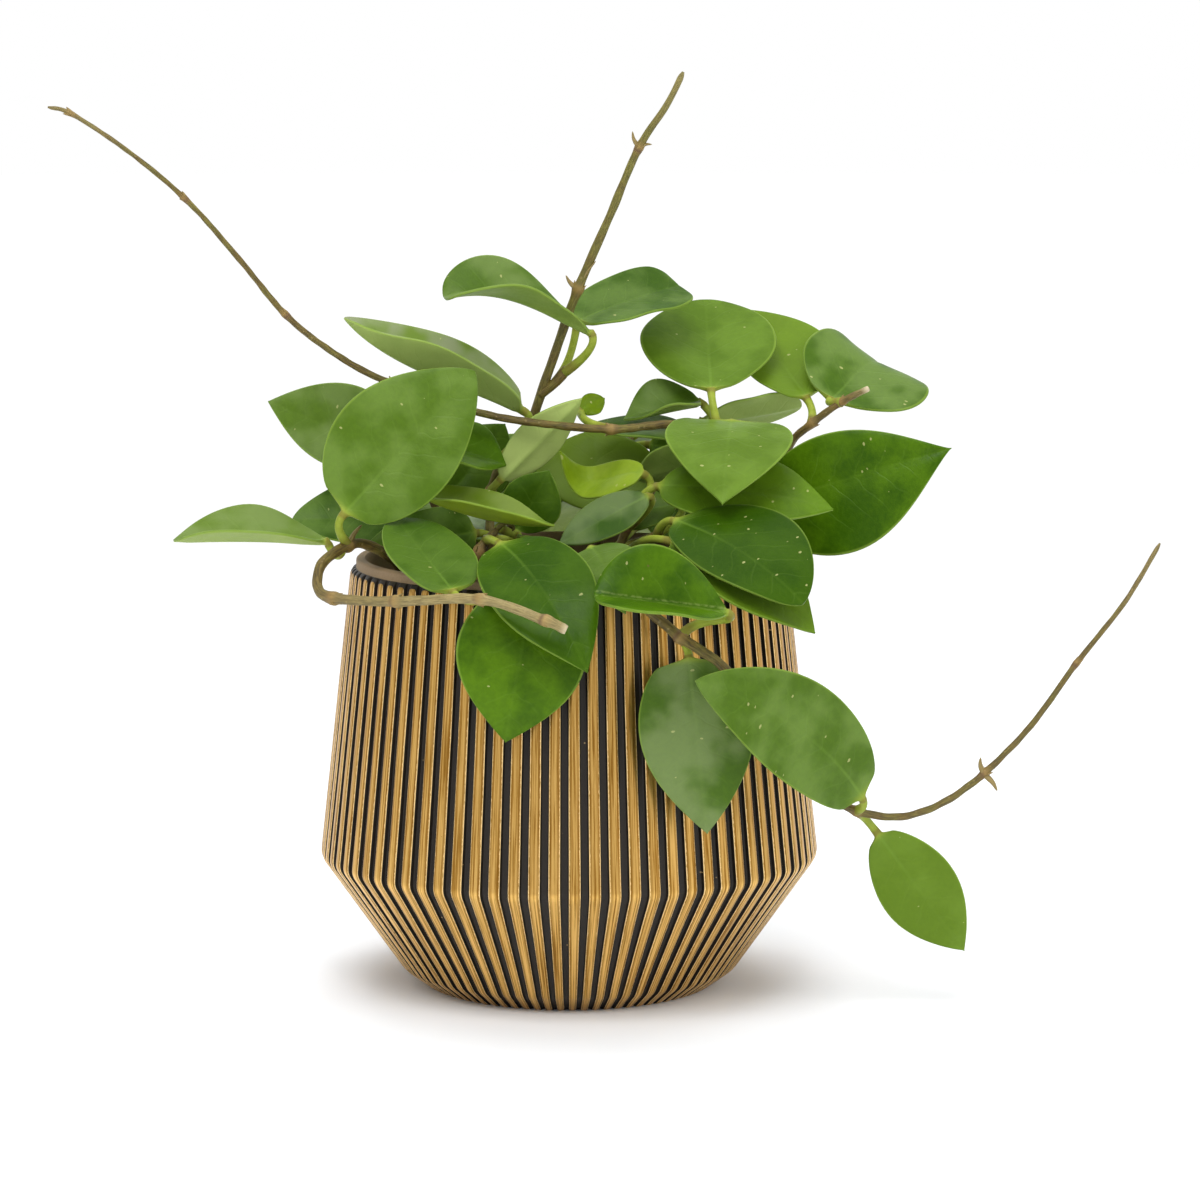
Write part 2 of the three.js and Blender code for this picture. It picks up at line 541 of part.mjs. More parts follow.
// Rings of the petiole, from the stem's axis to just short of the blade. It comes in
// along the midrib, and each ring starts on the blade's left and goes over its face.
function petioleRings(leaf) {
  const { midrib, surface } = bladeSurface(leaf);
  const from = new THREE.Vector3(...leaf.from);
  const base = midrib(0);
  const back = base.clone().sub(midrib(0.05)).normalize();
  const straight = base.clone().addScaledVector(back, PETIOLE_BEND * base.distanceTo(from));
  const bends = (leaf.bend ?? [straight.toArray()]).map((p) => new THREE.Vector3(...p));
  const path = bends.length === 1
    ? new THREE.QuadraticBezierCurve3(from, bends[0], base)
    : new THREE.CubicBezierCurve3(from, bends[0], bends[1], base);
  let left = surface(0, -1).sub(surface(0, 1)).normalize();
  const rings = [];
  for (let i = PETIOLE_STEPS; i >= 0; i -= 1) {
    const t = (i / PETIOLE_STEPS) * PETIOLE_REACH;
    const place = path.getPoint(t);
    const ahead = path.getTangent(t);
    left = left.clone().addScaledVector(ahead, -left.dot(ahead)).normalize();
    const up = ahead.clone().cross(left);
    const ring = [];
    for (let s = 0; s < PETIOLE_SIDES; s += 1) {
      const angle = (2 * Math.PI * s) / PETIOLE_SIDES;
      ring.push(place.clone()
        .addScaledVector(left, PETIOLE_RADIUS * Math.cos(angle))
        .addScaledVector(up, PETIOLE_RADIUS * Math.sin(angle)));
    }
    rings.unshift(ring);
  }
  return rings;
}

// Blade and petiole in one skin.
function leafSkin(leaf) {
  const { upper, lower } = bladeSkins(leaf);
  const rings = petioleRings(leaf);
  const across = 2 * HALF_STEPS;
  const row = across + 1;
  const under = upper.length;
  const faces = [];
  for (let i = 0; i < BLADE_STEPS; i += 1) {
    for (let j = 0; j < across; j += 1) {
      const a = i * row + j;
      const b = a + 1;
      const c = b + row;
      const d = a + row;
      faces.push([a, b, c], [a, c, d]);
      faces.push([under + a, under + c, under + b], [under + a, under + d, under + c]);
    }
  }
  const edge = [];
  for (let i = 0; i < BLADE_STEPS; i += 1) {
    edge.push([i * row + across, (i + 1) * row + across]);
    edge.push([(i + 1) * row, i * row]);
  }
  for (let j = 0; j < across; j += 1) {
    edge.push([BLADE_STEPS * row + j + 1, BLADE_STEPS * row + j]);
  }
  edge.forEach(([a, b]) => {
    faces.push([b, a, under + a], [b, under + a, under + b]);
  });

  const mouth = [];
  for (let j = 0; j <= across; j += 1) {
    mouth.push(j);
  }
  for (let j = across; j >= 0; j -= 1) {
    mouth.push(under + j);
  }
  const start = 2 * under;
  rings.slice(0, -1).forEach((ring, r) => {
    ring.forEach((place, s) => {
      const next = (s + 1) % PETIOLE_SIDES;
      const a = start + r * PETIOLE_SIDES + s;
      const b = start + r * PETIOLE_SIDES + next;
      faces.push([a, b, b + PETIOLE_SIDES], [a, b + PETIOLE_SIDES, a + PETIOLE_SIDES]);
    });
  });
  for (let s = 1; s + 1 < PETIOLE_SIDES; s += 1) {
    faces.push([start, start + s + 1, start + s]);
  }
  const collar = rings[PETIOLE_STEPS].map((place, s) => start + PETIOLE_STEPS * PETIOLE_SIDES + s);
  faces.push(...stitch(collar, mouth));
  return closedMesh([...upper, ...lower, ...rings.flat()], faces);
}

function leafSolid(leaf, clear) {
  return toSolid(leafSkin(leaf)).subtract(clear);
}

function ribRing(radius, height, relief) {
  const ring = [];
  const pitch = (2 * Math.PI) / RIBS;
  for (let k = 0; k < RIBS; k += 1) {
    const middle = (k + RIB_PHASE) * pitch - Math.PI / 2;
    [[-RIB_ROOT_SHARE, relief], [-RIB_TOP_SHARE, 0], [RIB_TOP_SHARE, 0], [RIB_ROOT_SHARE, relief]]
      .forEach(([share, depth]) => {
        const angle = middle + share * pitch;
        const r = radius - depth;
        ring.push(new THREE.Vector3(r * Math.cos(angle), r * Math.sin(angle), height));
      });
  }
  return ring;
}

function roundRing(radius, height, sides) {
  const ring = [];
  for (let k = 0; k < sides; k += 1) {
    const angle = (2 * Math.PI * k) / sides;
    ring.push(new THREE.Vector3(radius * Math.cos(angle), radius * Math.sin(angle), height));
  }
  return ring;
}

// The hollow inside the pot, or the soil's outside when it is drawn in by inset.
function hollowRings(inset, top) {
  const slope = (SHOULDER_RADIUS - BELLY_RADIUS) / (SHOULDER_HEIGHT - BELLY_HEIGHT);
  const thick = WALL + RIB_RELIEF + inset;
  const above = BELLY_RADIUS - thick + slope * (top - BELLY_HEIGHT);
  return [
    roundRing(HEEL_RADIUS - thick - HOLLOW_HEEL_INSET, FLOOR + inset, BORE_SIDES),
    roundRing(BELLY_RADIUS - thick, BELLY_HEIGHT, BORE_SIDES),
    roundRing(above, top, BORE_SIDES),
  ];
}

function potSolid() {
  const ribbed = toSolid(loft([
    ribRing(FOOT_RADIUS, 0, RIB_RELIEF),
    ribRing(HEEL_RADIUS, HEEL_HEIGHT, RIB_RELIEF),
    ribRing(BELLY_RADIUS, BELLY_HEIGHT, RIB_RELIEF),
    ribRing(SHOULDER_RADIUS, SHOULDER_HEIGHT, RIB_RELIEF),
  ]));
  const lip = SHOULDER_RADIUS - RIB_RELIEF - RIM_SET_BACK;
  const rim = toSolid(loft([
    roundRing(lip, SHOULDER_HEIGHT - RIM_SUNK, 2 * BORE_SIDES),
    roundRing(lip, RIM_HEIGHT, 2 * BORE_SIDES),
  ]));
  const hollow = toSolid(loft(hollowRings(0, RIM_HEIGHT + 1)));
  return ribbed.add(rim).subtract(hollow);
}

// The soil fills the hollow, and its top is a low uneven mound.
function soilSolid() {
  const rings = hollowRings(GAP, SOIL_HEIGHT);
  const edge = Math.hypot(rings[2][0].x, rings[2][0].y);
  for (let r = 1; r <= SOIL_RINGS; r += 1) {
    const share = 1 - r / (SOIL_RINGS + 0.5);
    const ring = roundRing(share * edge, SOIL_HEIGHT, BORE_SIDES);
    ring.forEach((place, k) => {
      place.z += SOIL_MOUND * (1 - share * share);
      SOIL_LUMPS.forEach(([high, around, inward]) => {
        place.z += share * high * Math.sin(around * k + inward * r);
      });
    });
    rings.push(ring);
  }
  return toSolid(loft(rings));
}

function named(name, solid, colour, roughness, metalness) {
  const material = new THREE.MeshStandardMaterial({ color: colour, roughness, metalness });
  const mesh = new THREE.Mesh(toGeometry(solid), material);
  mesh.name = name;
  return mesh;
}

const plant = new THREE.Group();
plant.add(named('pot', potSolid(), GOLD, 0.5, 0.3));

const clearances = {};
let soil = soilSolid();
STEMS.forEach((stem) => {
  clearances[stem.name] = stemSolid(stem, GAP);
  soil = soil.subtract(clearances[stem.name]);
  plant.add(named(stem.name, stemSolid(stem, 0), BARK, 0.6, 0));
});
plant.add(named('soil', soil, EARTH, 0.95, 0));

LEAVES.forEach((leaf) => {
  plant.add(named(leaf.name, leafSolid(leaf, clearances[leaf.stem]), GREEN, 0.4, 0));
});

export default plant;
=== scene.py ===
"""A hoya with long bare shoots in a ribbed gold and black pot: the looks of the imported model.

Places and sizes are in millimetres in the part's own frame, and become metres when a mesh is
made. +Z is up, X runs to the right and Y away from the front.
"""

import math

import bpy
import numpy as np
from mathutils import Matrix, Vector


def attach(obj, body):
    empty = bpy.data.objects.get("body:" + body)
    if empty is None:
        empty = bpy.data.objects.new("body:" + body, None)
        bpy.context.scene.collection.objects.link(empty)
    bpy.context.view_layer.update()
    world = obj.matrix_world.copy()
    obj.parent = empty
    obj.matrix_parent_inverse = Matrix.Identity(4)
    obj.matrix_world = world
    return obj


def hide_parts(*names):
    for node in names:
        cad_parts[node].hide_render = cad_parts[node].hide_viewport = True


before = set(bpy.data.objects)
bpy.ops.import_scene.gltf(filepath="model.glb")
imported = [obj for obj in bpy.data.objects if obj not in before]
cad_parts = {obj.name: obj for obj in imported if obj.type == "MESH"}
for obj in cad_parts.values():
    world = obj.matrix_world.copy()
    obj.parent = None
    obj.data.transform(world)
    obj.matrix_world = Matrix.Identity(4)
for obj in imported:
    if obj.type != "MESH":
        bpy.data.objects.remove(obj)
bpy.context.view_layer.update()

MM = 0.001

# Camera: the photograph's frame, its focal length in pixels, and the place it was taken from.
FRAME_PIXELS = 1200
FOCAL_PIXELS = 4034
SENSOR = 36
NEAREST = 0.05
CAMERA_PLACE = (9.6, -1240, 285.7)
CAMERA_PITCH = 7.63

# Pot
FOOT_RADIUS = 45
HEEL = (52.5, 5.5)
BELLY = (77.5, 41)
SHOULDER = (67.5, 130.5)
RIM_HEIGHT = 133.5
RIM_CORNER = 0.9
WALL = 2.8
FLOOR = 5
RIBS = 80
RIB_RELIEF = 1.6
RIB_PHASE = 0.36
RIB_END = 2.6
LIP_SET_BACK = 0.1
LIP_GAP = 0.1
INSIDE_STEP = (2, -20)
CREASE = 1.6
CREASE_ROUNDING = 0.35
FOOT_ROUNDING = 0.5
HEEL_FILL = 2
POT_SEED = 7
POT_WOBBLE = (7, 0.012, 3)
POT_SHARP = 50
# Shares of the rim's corner, outwards and up, over its outer and its inner edge.
OUTER_CORNER = ((0, -1), (-0.12, -0.5), (-0.5, -0.12), (-1, 0))
INNER_CORNER = ((1, 0), (0.4, -0.15), (0, -1))
# One half of a rib's section: the share of the pitch and of the relief, from top to groove.
RIB_SECTION = ((0, 0), (0.12, 0.008), (0.185, 0.04), (0.24, 0.1), (0.28, 0.18), (0.297, 0.26),
               (0.306, 0.4), (0.313, 0.65), (0.32, 0.88), (0.342, 0.98), (0.42, 1))

# Soil
SOIL_HEIGHT = 117
SOIL_MOUND = 3.5
SOIL_GAP = 0.35
SOIL_SIDES = 120
SOIL_RINGS = 40
SOIL_SEED = 11
SOIL_LUMPS = (24, 2.2, 0.55)
SOIL_GRAINS = (24, 1.6, 1.7)
SOIL_SHARP = 35
CRUMBS = 1500
CRUMB_SIZE = (0.35, 1.5)
CRUMB_FACES = ((0, 1, 3, 2), (4, 6, 7, 5), (0, 4, 5, 1), (2, 3, 7, 6), (0, 2, 6, 4),
               (1, 5, 7, 3))

# Stems
STEM_SIDES = 14
STEM_STEP = 1.1
TUBE_STEP = 0.6
FIRST_ACROSS = (0.31, 0.82, 0.47)
NODE_SWELL = 0.34
NODE_REACH = 1.5
SCAR_SWELL = 0.14
SCAR_REACH = 0.45
STEM_SEED = 300
BARK_SWELLS = (6, 0.16, 2.4)
BUD_RADII = (0.6, 0.5, 0.2)
SIDE_RADII = (1.5, 1.5, 1.5, 1.7, 1.3)

# Leaves
BLADE_ROWS = 44
HALF_COLUMNS = 9
ROLL_STEPS = 3
PETIOLE_ROWS = 14
MIDRIB_HALF_THICKNESS = 0.8
EDGE_HALF_THICKNESS = 0.4
GROOVE_DEPTH = 0.28
GROOVE_REACH = 0.9
RIDGE_HEIGHT = 0.75
RIDGE_REACH = 1.15
BASE_HALF_WIDTH = 1
TIP_HALF_WIDTH = 0.2
PETIOLE_RADIUS = 1.3
PETIOLE_BEND = 0.45
SLOPE_STEP = 0.01
VALLEY = 0.05
LEAF_SEED = 100
BLADE_SWELLS = (5, 0.35, 7)
ROUND_ROWS = 8
DRAWN_LOOKS = ((0.05, 0.3), (0.2, 0.4), (0, 0.3))

# Floor and lamps. Each lamp has its place and aim in metres, its size and its power, and says
# whether gloss mirrors it.
FLOOR_RADII = (9000, 3000, 1000, 300, 60, 5)
FLOOR_SIDES = 96
LAMPS = (("key", (-0.3, -1.1, 1.8), (0, 0, 0.12), (1.2, 1.0), 23, True),
         ("top", (0.0, 0.5, 1.9), (0, 0, 0.1), (1.8, 1.4), 24, False),
         ("fill", (1.4, -1.0, 0.9), (0, 0, 0.12), (0.8, 1.1), 7, True))


def leaf(number, root, base, tip, face, width, **more):
    """One leaf: the point on its stem, the ends of its midrib, the way its face looks, and its
    width. left and right raise its halves by degrees, cup curls its edges up and skew widens
    its left half. arch, hook and sweep bend the midrib, and twist turns the blade round it.
    wide is where it is widest, blunt and sharp shape its ends, and the petiole goes by bend."""
    shape = dict(number=number, name=f"leaf_{number:02}", root=root, base=base, tip=tip,
                 face=face, width=width, left=8, right=8, skew=0, cup=0, arch=0, hook=0,
                 sweep=0, twist=0, wide=0.46, blunt=0.6, sharp=0.92, bend=None)
    shape.update(more)
    return shape


LEAVES = [
    leaf(1, (-66, -36, 141), (-67, -42, 151), (-28, -31, 193), (-0.1, -1, 0.15), 39, skew=0.12,
         left=4, right=6, cup=-0.06, wide=0.42, sharp=0.72),
    leaf(2, (-44, -5, 158), (-50, -6, 163), (-92, -8, 182), (0.1, -1, 0.5), 28, skew=-0.15),
    leaf(3, (-68, -38.8, 139.9), (-72.5, -35, 142), (-119, -32, 142), (0, -0.12, 1), 28, left=24,
         right=36, arch=0.02, wide=0.57, sharp=0.75, bend=((-69.5, -34, 135),)),
    leaf(4, (-38, -2, 140), (-48, -5, 144.7), (-85, -9, 145.6), (0, -0.75, 0.7), 23, skew=-0.12,
         left=10, right=10, sharp=0.7),
    leaf(5, (-20, -5, 165), (-14, -7, 179), (-68, -14, 208), (0.5, -0.05, 0.9), 28, left=46,
         right=60, hook=-0.05, blunt=0.45, sharp=0.6),
    leaf(6, (-1.5, 1.8, 190), (7, -4, 202.5), (-38, -10, 214), (0.25, -0.1, 1), 28, left=30,
         right=40, arch=0.07, hook=0.04, twist=-36, wide=0.66, blunt=0.5, sharp=0.42,
         bend=((9.5, -4.5, 198),)),
    leaf(7, (-4, 2.2, 187.2), (2.5, 9, 205), (34.5, 26, 215), (-0.1, -0.35, 1), 30, left=16,
         right=4, twist=10, arch=0.02, wide=0.6, blunt=0.24, sharp=0.2, bend=((1, 7.5, 193),)),
    leaf(8, (46, 0, 172.5), (44, 6, 184), (43, 42, 210), (0, -0.62, 0.8), 43, left=6, right=6,
         sharp=0.55, wide=0.5),
    leaf(9, (75, 4, 174), (74, 14, 181), (55, 44, 207), (0.15, -0.75, 0.7), 31, skew=-0.2, left=5,
         right=5),
    leaf(10, (84, 1, 181), (81, 8, 181), (99, 38, 188), (-0.1, -0.65, 0.78), 43, skew=-0.1,
         left=26, right=-4, hook=0.14, blunt=0.5, sharp=0.5, wide=0.5),
    leaf(11, (61, 10, 143), (58, 2, 148), (117, -12, 168), (0, -1, 0.3), 38, skew=-0.19, left=6,
         right=4, arch=0.03, wide=0.42, sharp=1.1),
    leaf(12, (47.2, 2.3, 169.3), (50, -4, 175), (46, -47, 154.5), (0, -0.6, 0.8), 39, left=4,
         right=4, arch=0.1, wide=0.36, blunt=0.36, sharp=1),
    leaf(13, (21, -17, 149), (27, -19.5, 157), (80, -29, 151), (0, -0.55, 0.85), 33, left=6,
         right=6, arch=0.04, bend=((21.5, -20.5, 155.5),)),
    leaf(14, (27, -30, 143.7), (32, -39, 148.6), (69, -69, 127.5), (0.1, -0.7, 0.7), 37,
         skew=0.26, left=-8, right=6, arch=0.09, wide=0.47, sharp=0.62),
    leaf(15, (17, -19.5, 135), (31, -40, 142.5), (73, -62, 118), (0.1, -0.6, 0.8), 32, left=6,
         right=16, arch=0.08),
    leaf(16, (33, -77, 119), (47, -84, 127), (8, -86, 132.5), (0, -0.45, 0.9), 36, left=26,
         right=50, wide=0.6, sharp=0.5, bend=((38, -74, 126), (50, -76, 122))),
    leaf(17, (-24.5, -34.8, 142.5), (-20, -51, 143), (6, -90, 110.5), (0, -0.75, 0.7), 32, left=4,
         right=4, arch=0.14, blunt=0.5),
    leaf(18, (5, -53, 131), (-9.5, -68, 134.5), (-18, -77, 88), (0, -1, 0.2), 38, left=4, right=4,
         arch=0.1),
    leaf(19, (33, -77, 119), (35.5, -75, 113), (41, -78, 61), (0, -1, 0.1), 34, left=-8, right=-8,
         arch=0.04, wide=0.4, blunt=0.45),
    leaf(20, (86, -55, 63.5), (87.3, -62, 68.5), (37, -96, 109), (0, -1, 0.3), 30, left=4,
         right=4, arch=0.05, sweep=0.07, wide=0.44, blunt=0.45, sharp=0.75),
    leaf(21, (86, -55, 63.5), (93, -46, 55), (120, -42, 18), (0, -1, 0.1), 24, left=4, right=4,
         arch=0.03),
    leaf(22, (-25, -84, 131), (-33.3, -73.5, 131.6), (-51.5, -38, 149), (0.15, -0.5, 0.6), 25,
         skew=-0.13, left=5, right=5, blunt=0.42, sharp=0.45),
    leaf(23, (-42, -4.2, 152.5), (-46, -22, 156), (-4, -44, 148), (0, -0.1, 1), 20, left=34,
         right=34, arch=-0.05, twist=-30),
    leaf(24, (-24, -5, 154), (-21, -9, 158), (4, -8, 183), (-0.25, 0.9, 0.25), 15),
    leaf(25, (10, 30, 140), (9, 10, 146), (8, 24, 170), (0, -0.8, 0.6), 38, left=5, right=5,
         sharp=0.6, wide=0.5),
    leaf(26, (24.2, -17.8, 153.8), (23, -17, 160.5), (-2.5, -12, 167), (0.15, -0.75, 0.65), 15,
         skew=0.2, left=10, right=10, hook=-0.4, wide=0.42, blunt=0.5, sharp=0.7,
         bend=((26.5, -15, 158),)),
    leaf(27, (18, -16, 144), (24.3, -28, 155), (-3, -36, 141), (0.2, -0.6, 0.8), 15.5,
         bend=((28, -24, 153),)),
    leaf(28, (-43, -4, 170), (-42, -14, 170), (-19, -15, 163), (0.2, -0.55, 1), 27, left=14,
         right=20),
    leaf(29, (49, 6, 164), (41, 14, 180), (17, 8, 175), (0, -0.3, 1), 23, left=30, right=40,
         bend=((47, 14, 174),)),
    leaf(30, (47.5, 9, 155), (41, 20, 173.5), (73, 26, 178), (0, 0.55, 0.8), 19, left=5, right=5,
         wide=0.55, sharp=0.45, bend=((41, 18, 163),)),
    leaf(31, (13, -14, 174), (3.5, 0, 178.5), (11, 5, 181.8), (0.3, -0.8, 0.5), 7.5, left=10,
         right=10, bend=((3.5, -11, 175.5),)),
    leaf(32, (46, 0, 172.5), (38, 7, 171), (6, 12, 173), (0, -0.3, 1), 20, left=6, right=6),
    leaf(33, (49, 6, 164), (42, 0, 164), (20, 4, 157), (0, 0.7, 0.6), 18, left=5, right=5),
    leaf(34, (-35.2, -0.2, 130), (-38, 6, 150), (-20, 15, 173), (0, -0.9, 0.4), 26,
         bend=((-47, 3, 141),)),
    leaf(35, (-24, -10, 140), (-16, -8, 142), (-6, -10, 161), (0.2, -0.9, 0.3), 19),
    leaf(36, (-24, -10, 140), (-28, -13, 142), (-62.5, -19, 138.5), (0, -0.75, 0.66), 22, left=6,
         right=6, wide=0.36),
    leaf(37, (-21, -33, 146), (-15, -30, 143), (2, -41, 137.5), (0, 0.3, 0.9), 15, left=6,
         right=6),
    leaf(38, (4, -49.5, 124), (7, -46, 141), (17, -78, 126), (-0.2, -0.5, 0.85), 20, left=5,
         right=5, arch=0.14),
    leaf(39, (16, -16, 138), (33, -8, 150), (10, -10, 146), (0, -0.7, 0.7), 15,
         bend=((30, -12, 140), (39, -8, 150))),
    leaf(40, (-38, -2, 140), (-40, 14, 146), (-66, 44, 148), (-0.1, -0.4, 1), 30, arch=0.06),
    leaf(41, (10, 30, 140), (4, 44, 146), (-8, 88, 128), (0, 0.4, 0.9), 34, left=6, right=6,
         arch=0.12),
    leaf(42, (14, 32, 156), (25, 40, 157), (56, 66, 144), (0.2, 0.2, 1), 32, left=6, right=6,
         arch=0.1),
    leaf(43, (14, 32, 156), (2, 34, 153), (-38, 32, 154), (0, -0.75, 0.7), 32, arch=0.05),
    leaf(44, (20, 30, 168), (22, 38, 168), (14, 74, 156), (0, 0.3, 1), 28, arch=0.08),
    leaf(45, (43.5, 10, 128), (43, 15, 140), (20, 9, 151), (0, -0.9, 0.4), 21,
         bend=((48, 15, 136),)),
    leaf(46, (17, 31, 162), (25, 25, 165.5), (50, 20, 162), (0, -0.8, 0.5), 22),
    leaf(47, (-33.2, 1.4, 123), (-24, 20, 135), (-38, 66, 137), (-0.1, 0.2, 1), 32, arch=0.06),
    leaf(48, (8.4, 27.9, 126), (20, 38, 137), (34, 82, 124), (0, 0.3, 1), 33, arch=0.12),
]

# What sets a leaf's colour apart: its shares of yellow-green, of deep green and of painted grey
# sheen, which also dulls its gloss.
# The other leaves draw theirs, and one of them has a set share of deep green.
LOOKS = {
    1: (0.25, 0, 0.21), 2: (0.3, 0, 0.39), 3: (0.5, 0, 0.42), 4: (0, 0.2, 0.21), 5: (0.7, 0, 1.3),
    6: (0.2, 0.1, 0.4), 7: (0.05, 0.35, 0.2), 8: (0.35, 0.05, 0.07), 9: (0.6, 0, 0),
    10: (0.1, 0.05, 0.3), 11: (0, 0.2, 0), 12: (0.38, 0, 0.1), 13: (0.25, 0, 0),
    14: (0.1, 0.9, 0), 15: (0.45, 0, 0), 16: (0, 0.25, 0), 17: (0.05, 0.75, 0), 18: (0.05, 0, 0),
    19: (0.1, 0, 0.6), 20: (0.2, 0, 0.24), 21: (0.5, 0, 0.07), 22: (0.1, 0.45, 0.1),
    23: (0, 0.7, 0.35), 24: (1, 0, 0.35), 25: (0.9, 0, 0.1), 27: (0, 0.7, 0.4), 28: (0.1, 0, 0),
    30: (0.6, 0.4, 0.42), 31: (0, 0.6, 0),
}
DEEP_GREEN = {33: 0.4}
STREAKED_LEAVES = (16,)
YOUNG_LEAVES = (23, 26, 31)

# Every stem: its points from the root, its radius at the root and the tip, the numbers of
# its nodes, the scales left there as (point, reach, radius), a short branch, further shoots
# as (points, radii), and how green it is at the root and at the tip. tan says where its tan end
# starts, where it is full and how strong it is, and cut marks a cut end.
STEMS = {
    "stem_upright": dict(
        points=((-20, 5, 106), (-19, 5, 118), (-17, 4, 148), (-12.3, 4, 171.5),
                (-4.1, 2, 196.5), (2.8, 0, 215.8), (12.5, 0, 238), (21.5, 0, 259),
                (30, 0, 272), (35, 0, 282)),
        radius=(1.9, 1), nodes=(3, 5, 7),
        scales=((5, (-3.7, -1, 4.4), 1.1), (5, (5.6, -1, 8.8), 1.2), (7, (4, 0, 1), 1),
                (7, (-2, 0, 5), 1)),
        side=((-9, 3, 183), (-4, 2.2, 187.2), (0, 1.5, 192)), green=(0.15, 0.85)),
    "stem_tendril": dict(
        points=((40, 10, 106), (42, 10, 118), (46, 10, 145), (49, 6, 164), (46, 0, 172.5),
                (32, -8, 175), (13, -14, 174), (-6, -14, 175.5), (-27, -14, 179),
                (-54, -14, 188), (-71, -14, 197), (-86, -14, 209), (-100, -14, 226),
                (-116, -14, 244), (-134, -14, 259), (-150, -14, 269.5), (-157, -14, 271.5)),
        radius=(1.6, 0.65), nodes=(4, 6, 9, 11, 13, 15), green=(0.3, 0.35)),
    "stem_right": dict(
        points=((55, 12, 106), (56, 11, 118), (58, 10, 132), (62, 10, 146), (68, 8, 166),
                (75, 4, 174), (84, 1, 181), (92, -3, 185.5)),
        radius=(1.9, 0.95), nodes=(5, 6), green=(0.2, 0.1), tan=(0.9, 1, 0.8), cut=True),
    "stem_trailing": dict(
        points=((2, -44, 106), (3, -46, 118), (6, -55, 131.5), (12, -65.5, 136.5),
                (20, -72, 129.5), (33, -77, 119), (44, -80, 112), (53, -77, 102),
                (66, -68, 85), (78, -61, 70), (86, -55, 63.5), (100, -46, 60),
                (113, -40, 63), (126, -34, 71), (141, -28, 85), (155, -22, 103),
                (170, -17, 121), (181, -14, 139)),
        radius=(1.8, 0.7), nodes=(5, 10, 13, 15),
        scales=((13, (4, -2, -5), 1.2), (13, (-1, 0, 5), 1.3)), green=(0.3, 0.2)),
    "stem_left_front": dict(
        points=((-45, -13, 106), (-46, -14, 118), (-52, -20, 133), (-60, -29, 140),
                (-66, -36, 141), (-73, -46, 137), (-74, -55, 131), (-69, -62, 128.5),
                (-50, -70, 128.5), (-25, -84, 131), (-6, -93, 126), (0, -94, 123.5)),
        radius=(1.65, 1.4), nodes=(4, 7, 8, 9, 10),
        scales=((4, (4, 2, 6), 1.5), (8, (2.2, -1.2, 2.6), 0.7), (8, (0.6, -1.6, -2.6), 0.6)),
        green=(0.35, 0), tan=(0.35, 0.8, 1), cut=True),
    "stem_left_inner": dict(
        points=((-30, 2, 106), (-32, 2, 118), (-38, -2, 140), (-44, -5, 158), (-43, -4, 170)),
        radius=(1.7, 1.1), nodes=(2, 3), green=(0.3, 0.7)),
    "stem_inner": dict(
        points=((-22, -12, 106), (-22, -12, 118), (-24, -10, 140), (-24, -5, 154),
                (-20, -5, 165)),
        radius=(1.7, 1.2), nodes=(2, 3), green=(0.3, 0.7)),
    "stem_front_inner": dict(
        points=((-22, -34, 106), (-23, -35, 118), (-28, -37, 131), (-27, -36, 139),
                (-21, -33, 146)),
        radius=(1.7, 1.2), nodes=(2, 3), green=(0.2, 0.1),
        shoots=((((-21.4, -33.2, 145.4), (-19.6, -34.4, 147.2), (-17.6, -35, 147.4),
                  (-16.2, -34.6, 146.2), (-16.9, -34, 145)), (0.8, 0.35)),)),
    "stem_front_right": dict(
        points=((12, -18, 106), (12, -17, 118), (14, -16, 132), (18, -16, 144),
                (23, -17.7, 152), (27, -18, 158)),
        radius=(1.7, 1.2), nodes=(3, 4),
        side=((14.5, -16, 133), (21, -24, 138.5), (28, -31, 144.5)), green=(0.3, 0.7)),
    "stem_back": dict(
        points=((8, 26, 106), (8, 27, 118), (10, 30, 140), (14, 32, 156), (20, 30, 168)),
        radius=(1.8, 1.2), nodes=(2, 3), green=(0.3, 0.6)),
}


def smooth(low, high, value):
    """0 below low, 1 above high, and an S-curve between."""
    share = np.clip((value - low) / (high - low), 0, 1)
    return share * share * (3 - 2 * share)


def unit(vectors):
    return vectors / np.linalg.norm(vectors, axis=-1, keepdims=True)


def swells(rng, count, height, waves):
    """A function of two coordinates that rises and falls slowly by up to height."""
    turns = rng.uniform(-waves, waves, (count, 2))
    phases = rng.uniform(0, 2 * math.pi, count)

    def value(a, b):
        total = 0
        for (ta, tb), phase in zip(turns, phases):
            total = total + np.sin(ta * a + tb * b + phase)
        return height * total / count
    return value


def peak(away, reach):
    """1 at the middle and next to nothing beyond twice the reach."""
    return np.exp(-(away / reach) ** 2)


def circle(sides):
    return 2 * math.pi * np.arange(sides) / sides


def ring(radius, height, angles):
    """A ring of vertices round the pot's axis."""
    return np.stack((radius * np.cos(angles), radius * np.sin(angles),
                     np.zeros(len(angles)) + height), axis=1)


def and_back(values):
    """The values of a loop whose way back passes the same places, without its two ends."""
    return np.concatenate((values, values[-2:0:-1]))


def put(name, data):
    """A new object in the scene."""
    made = bpy.data.objects.new(name, data)
    bpy.context.scene.collection.objects.link(made)
    return made


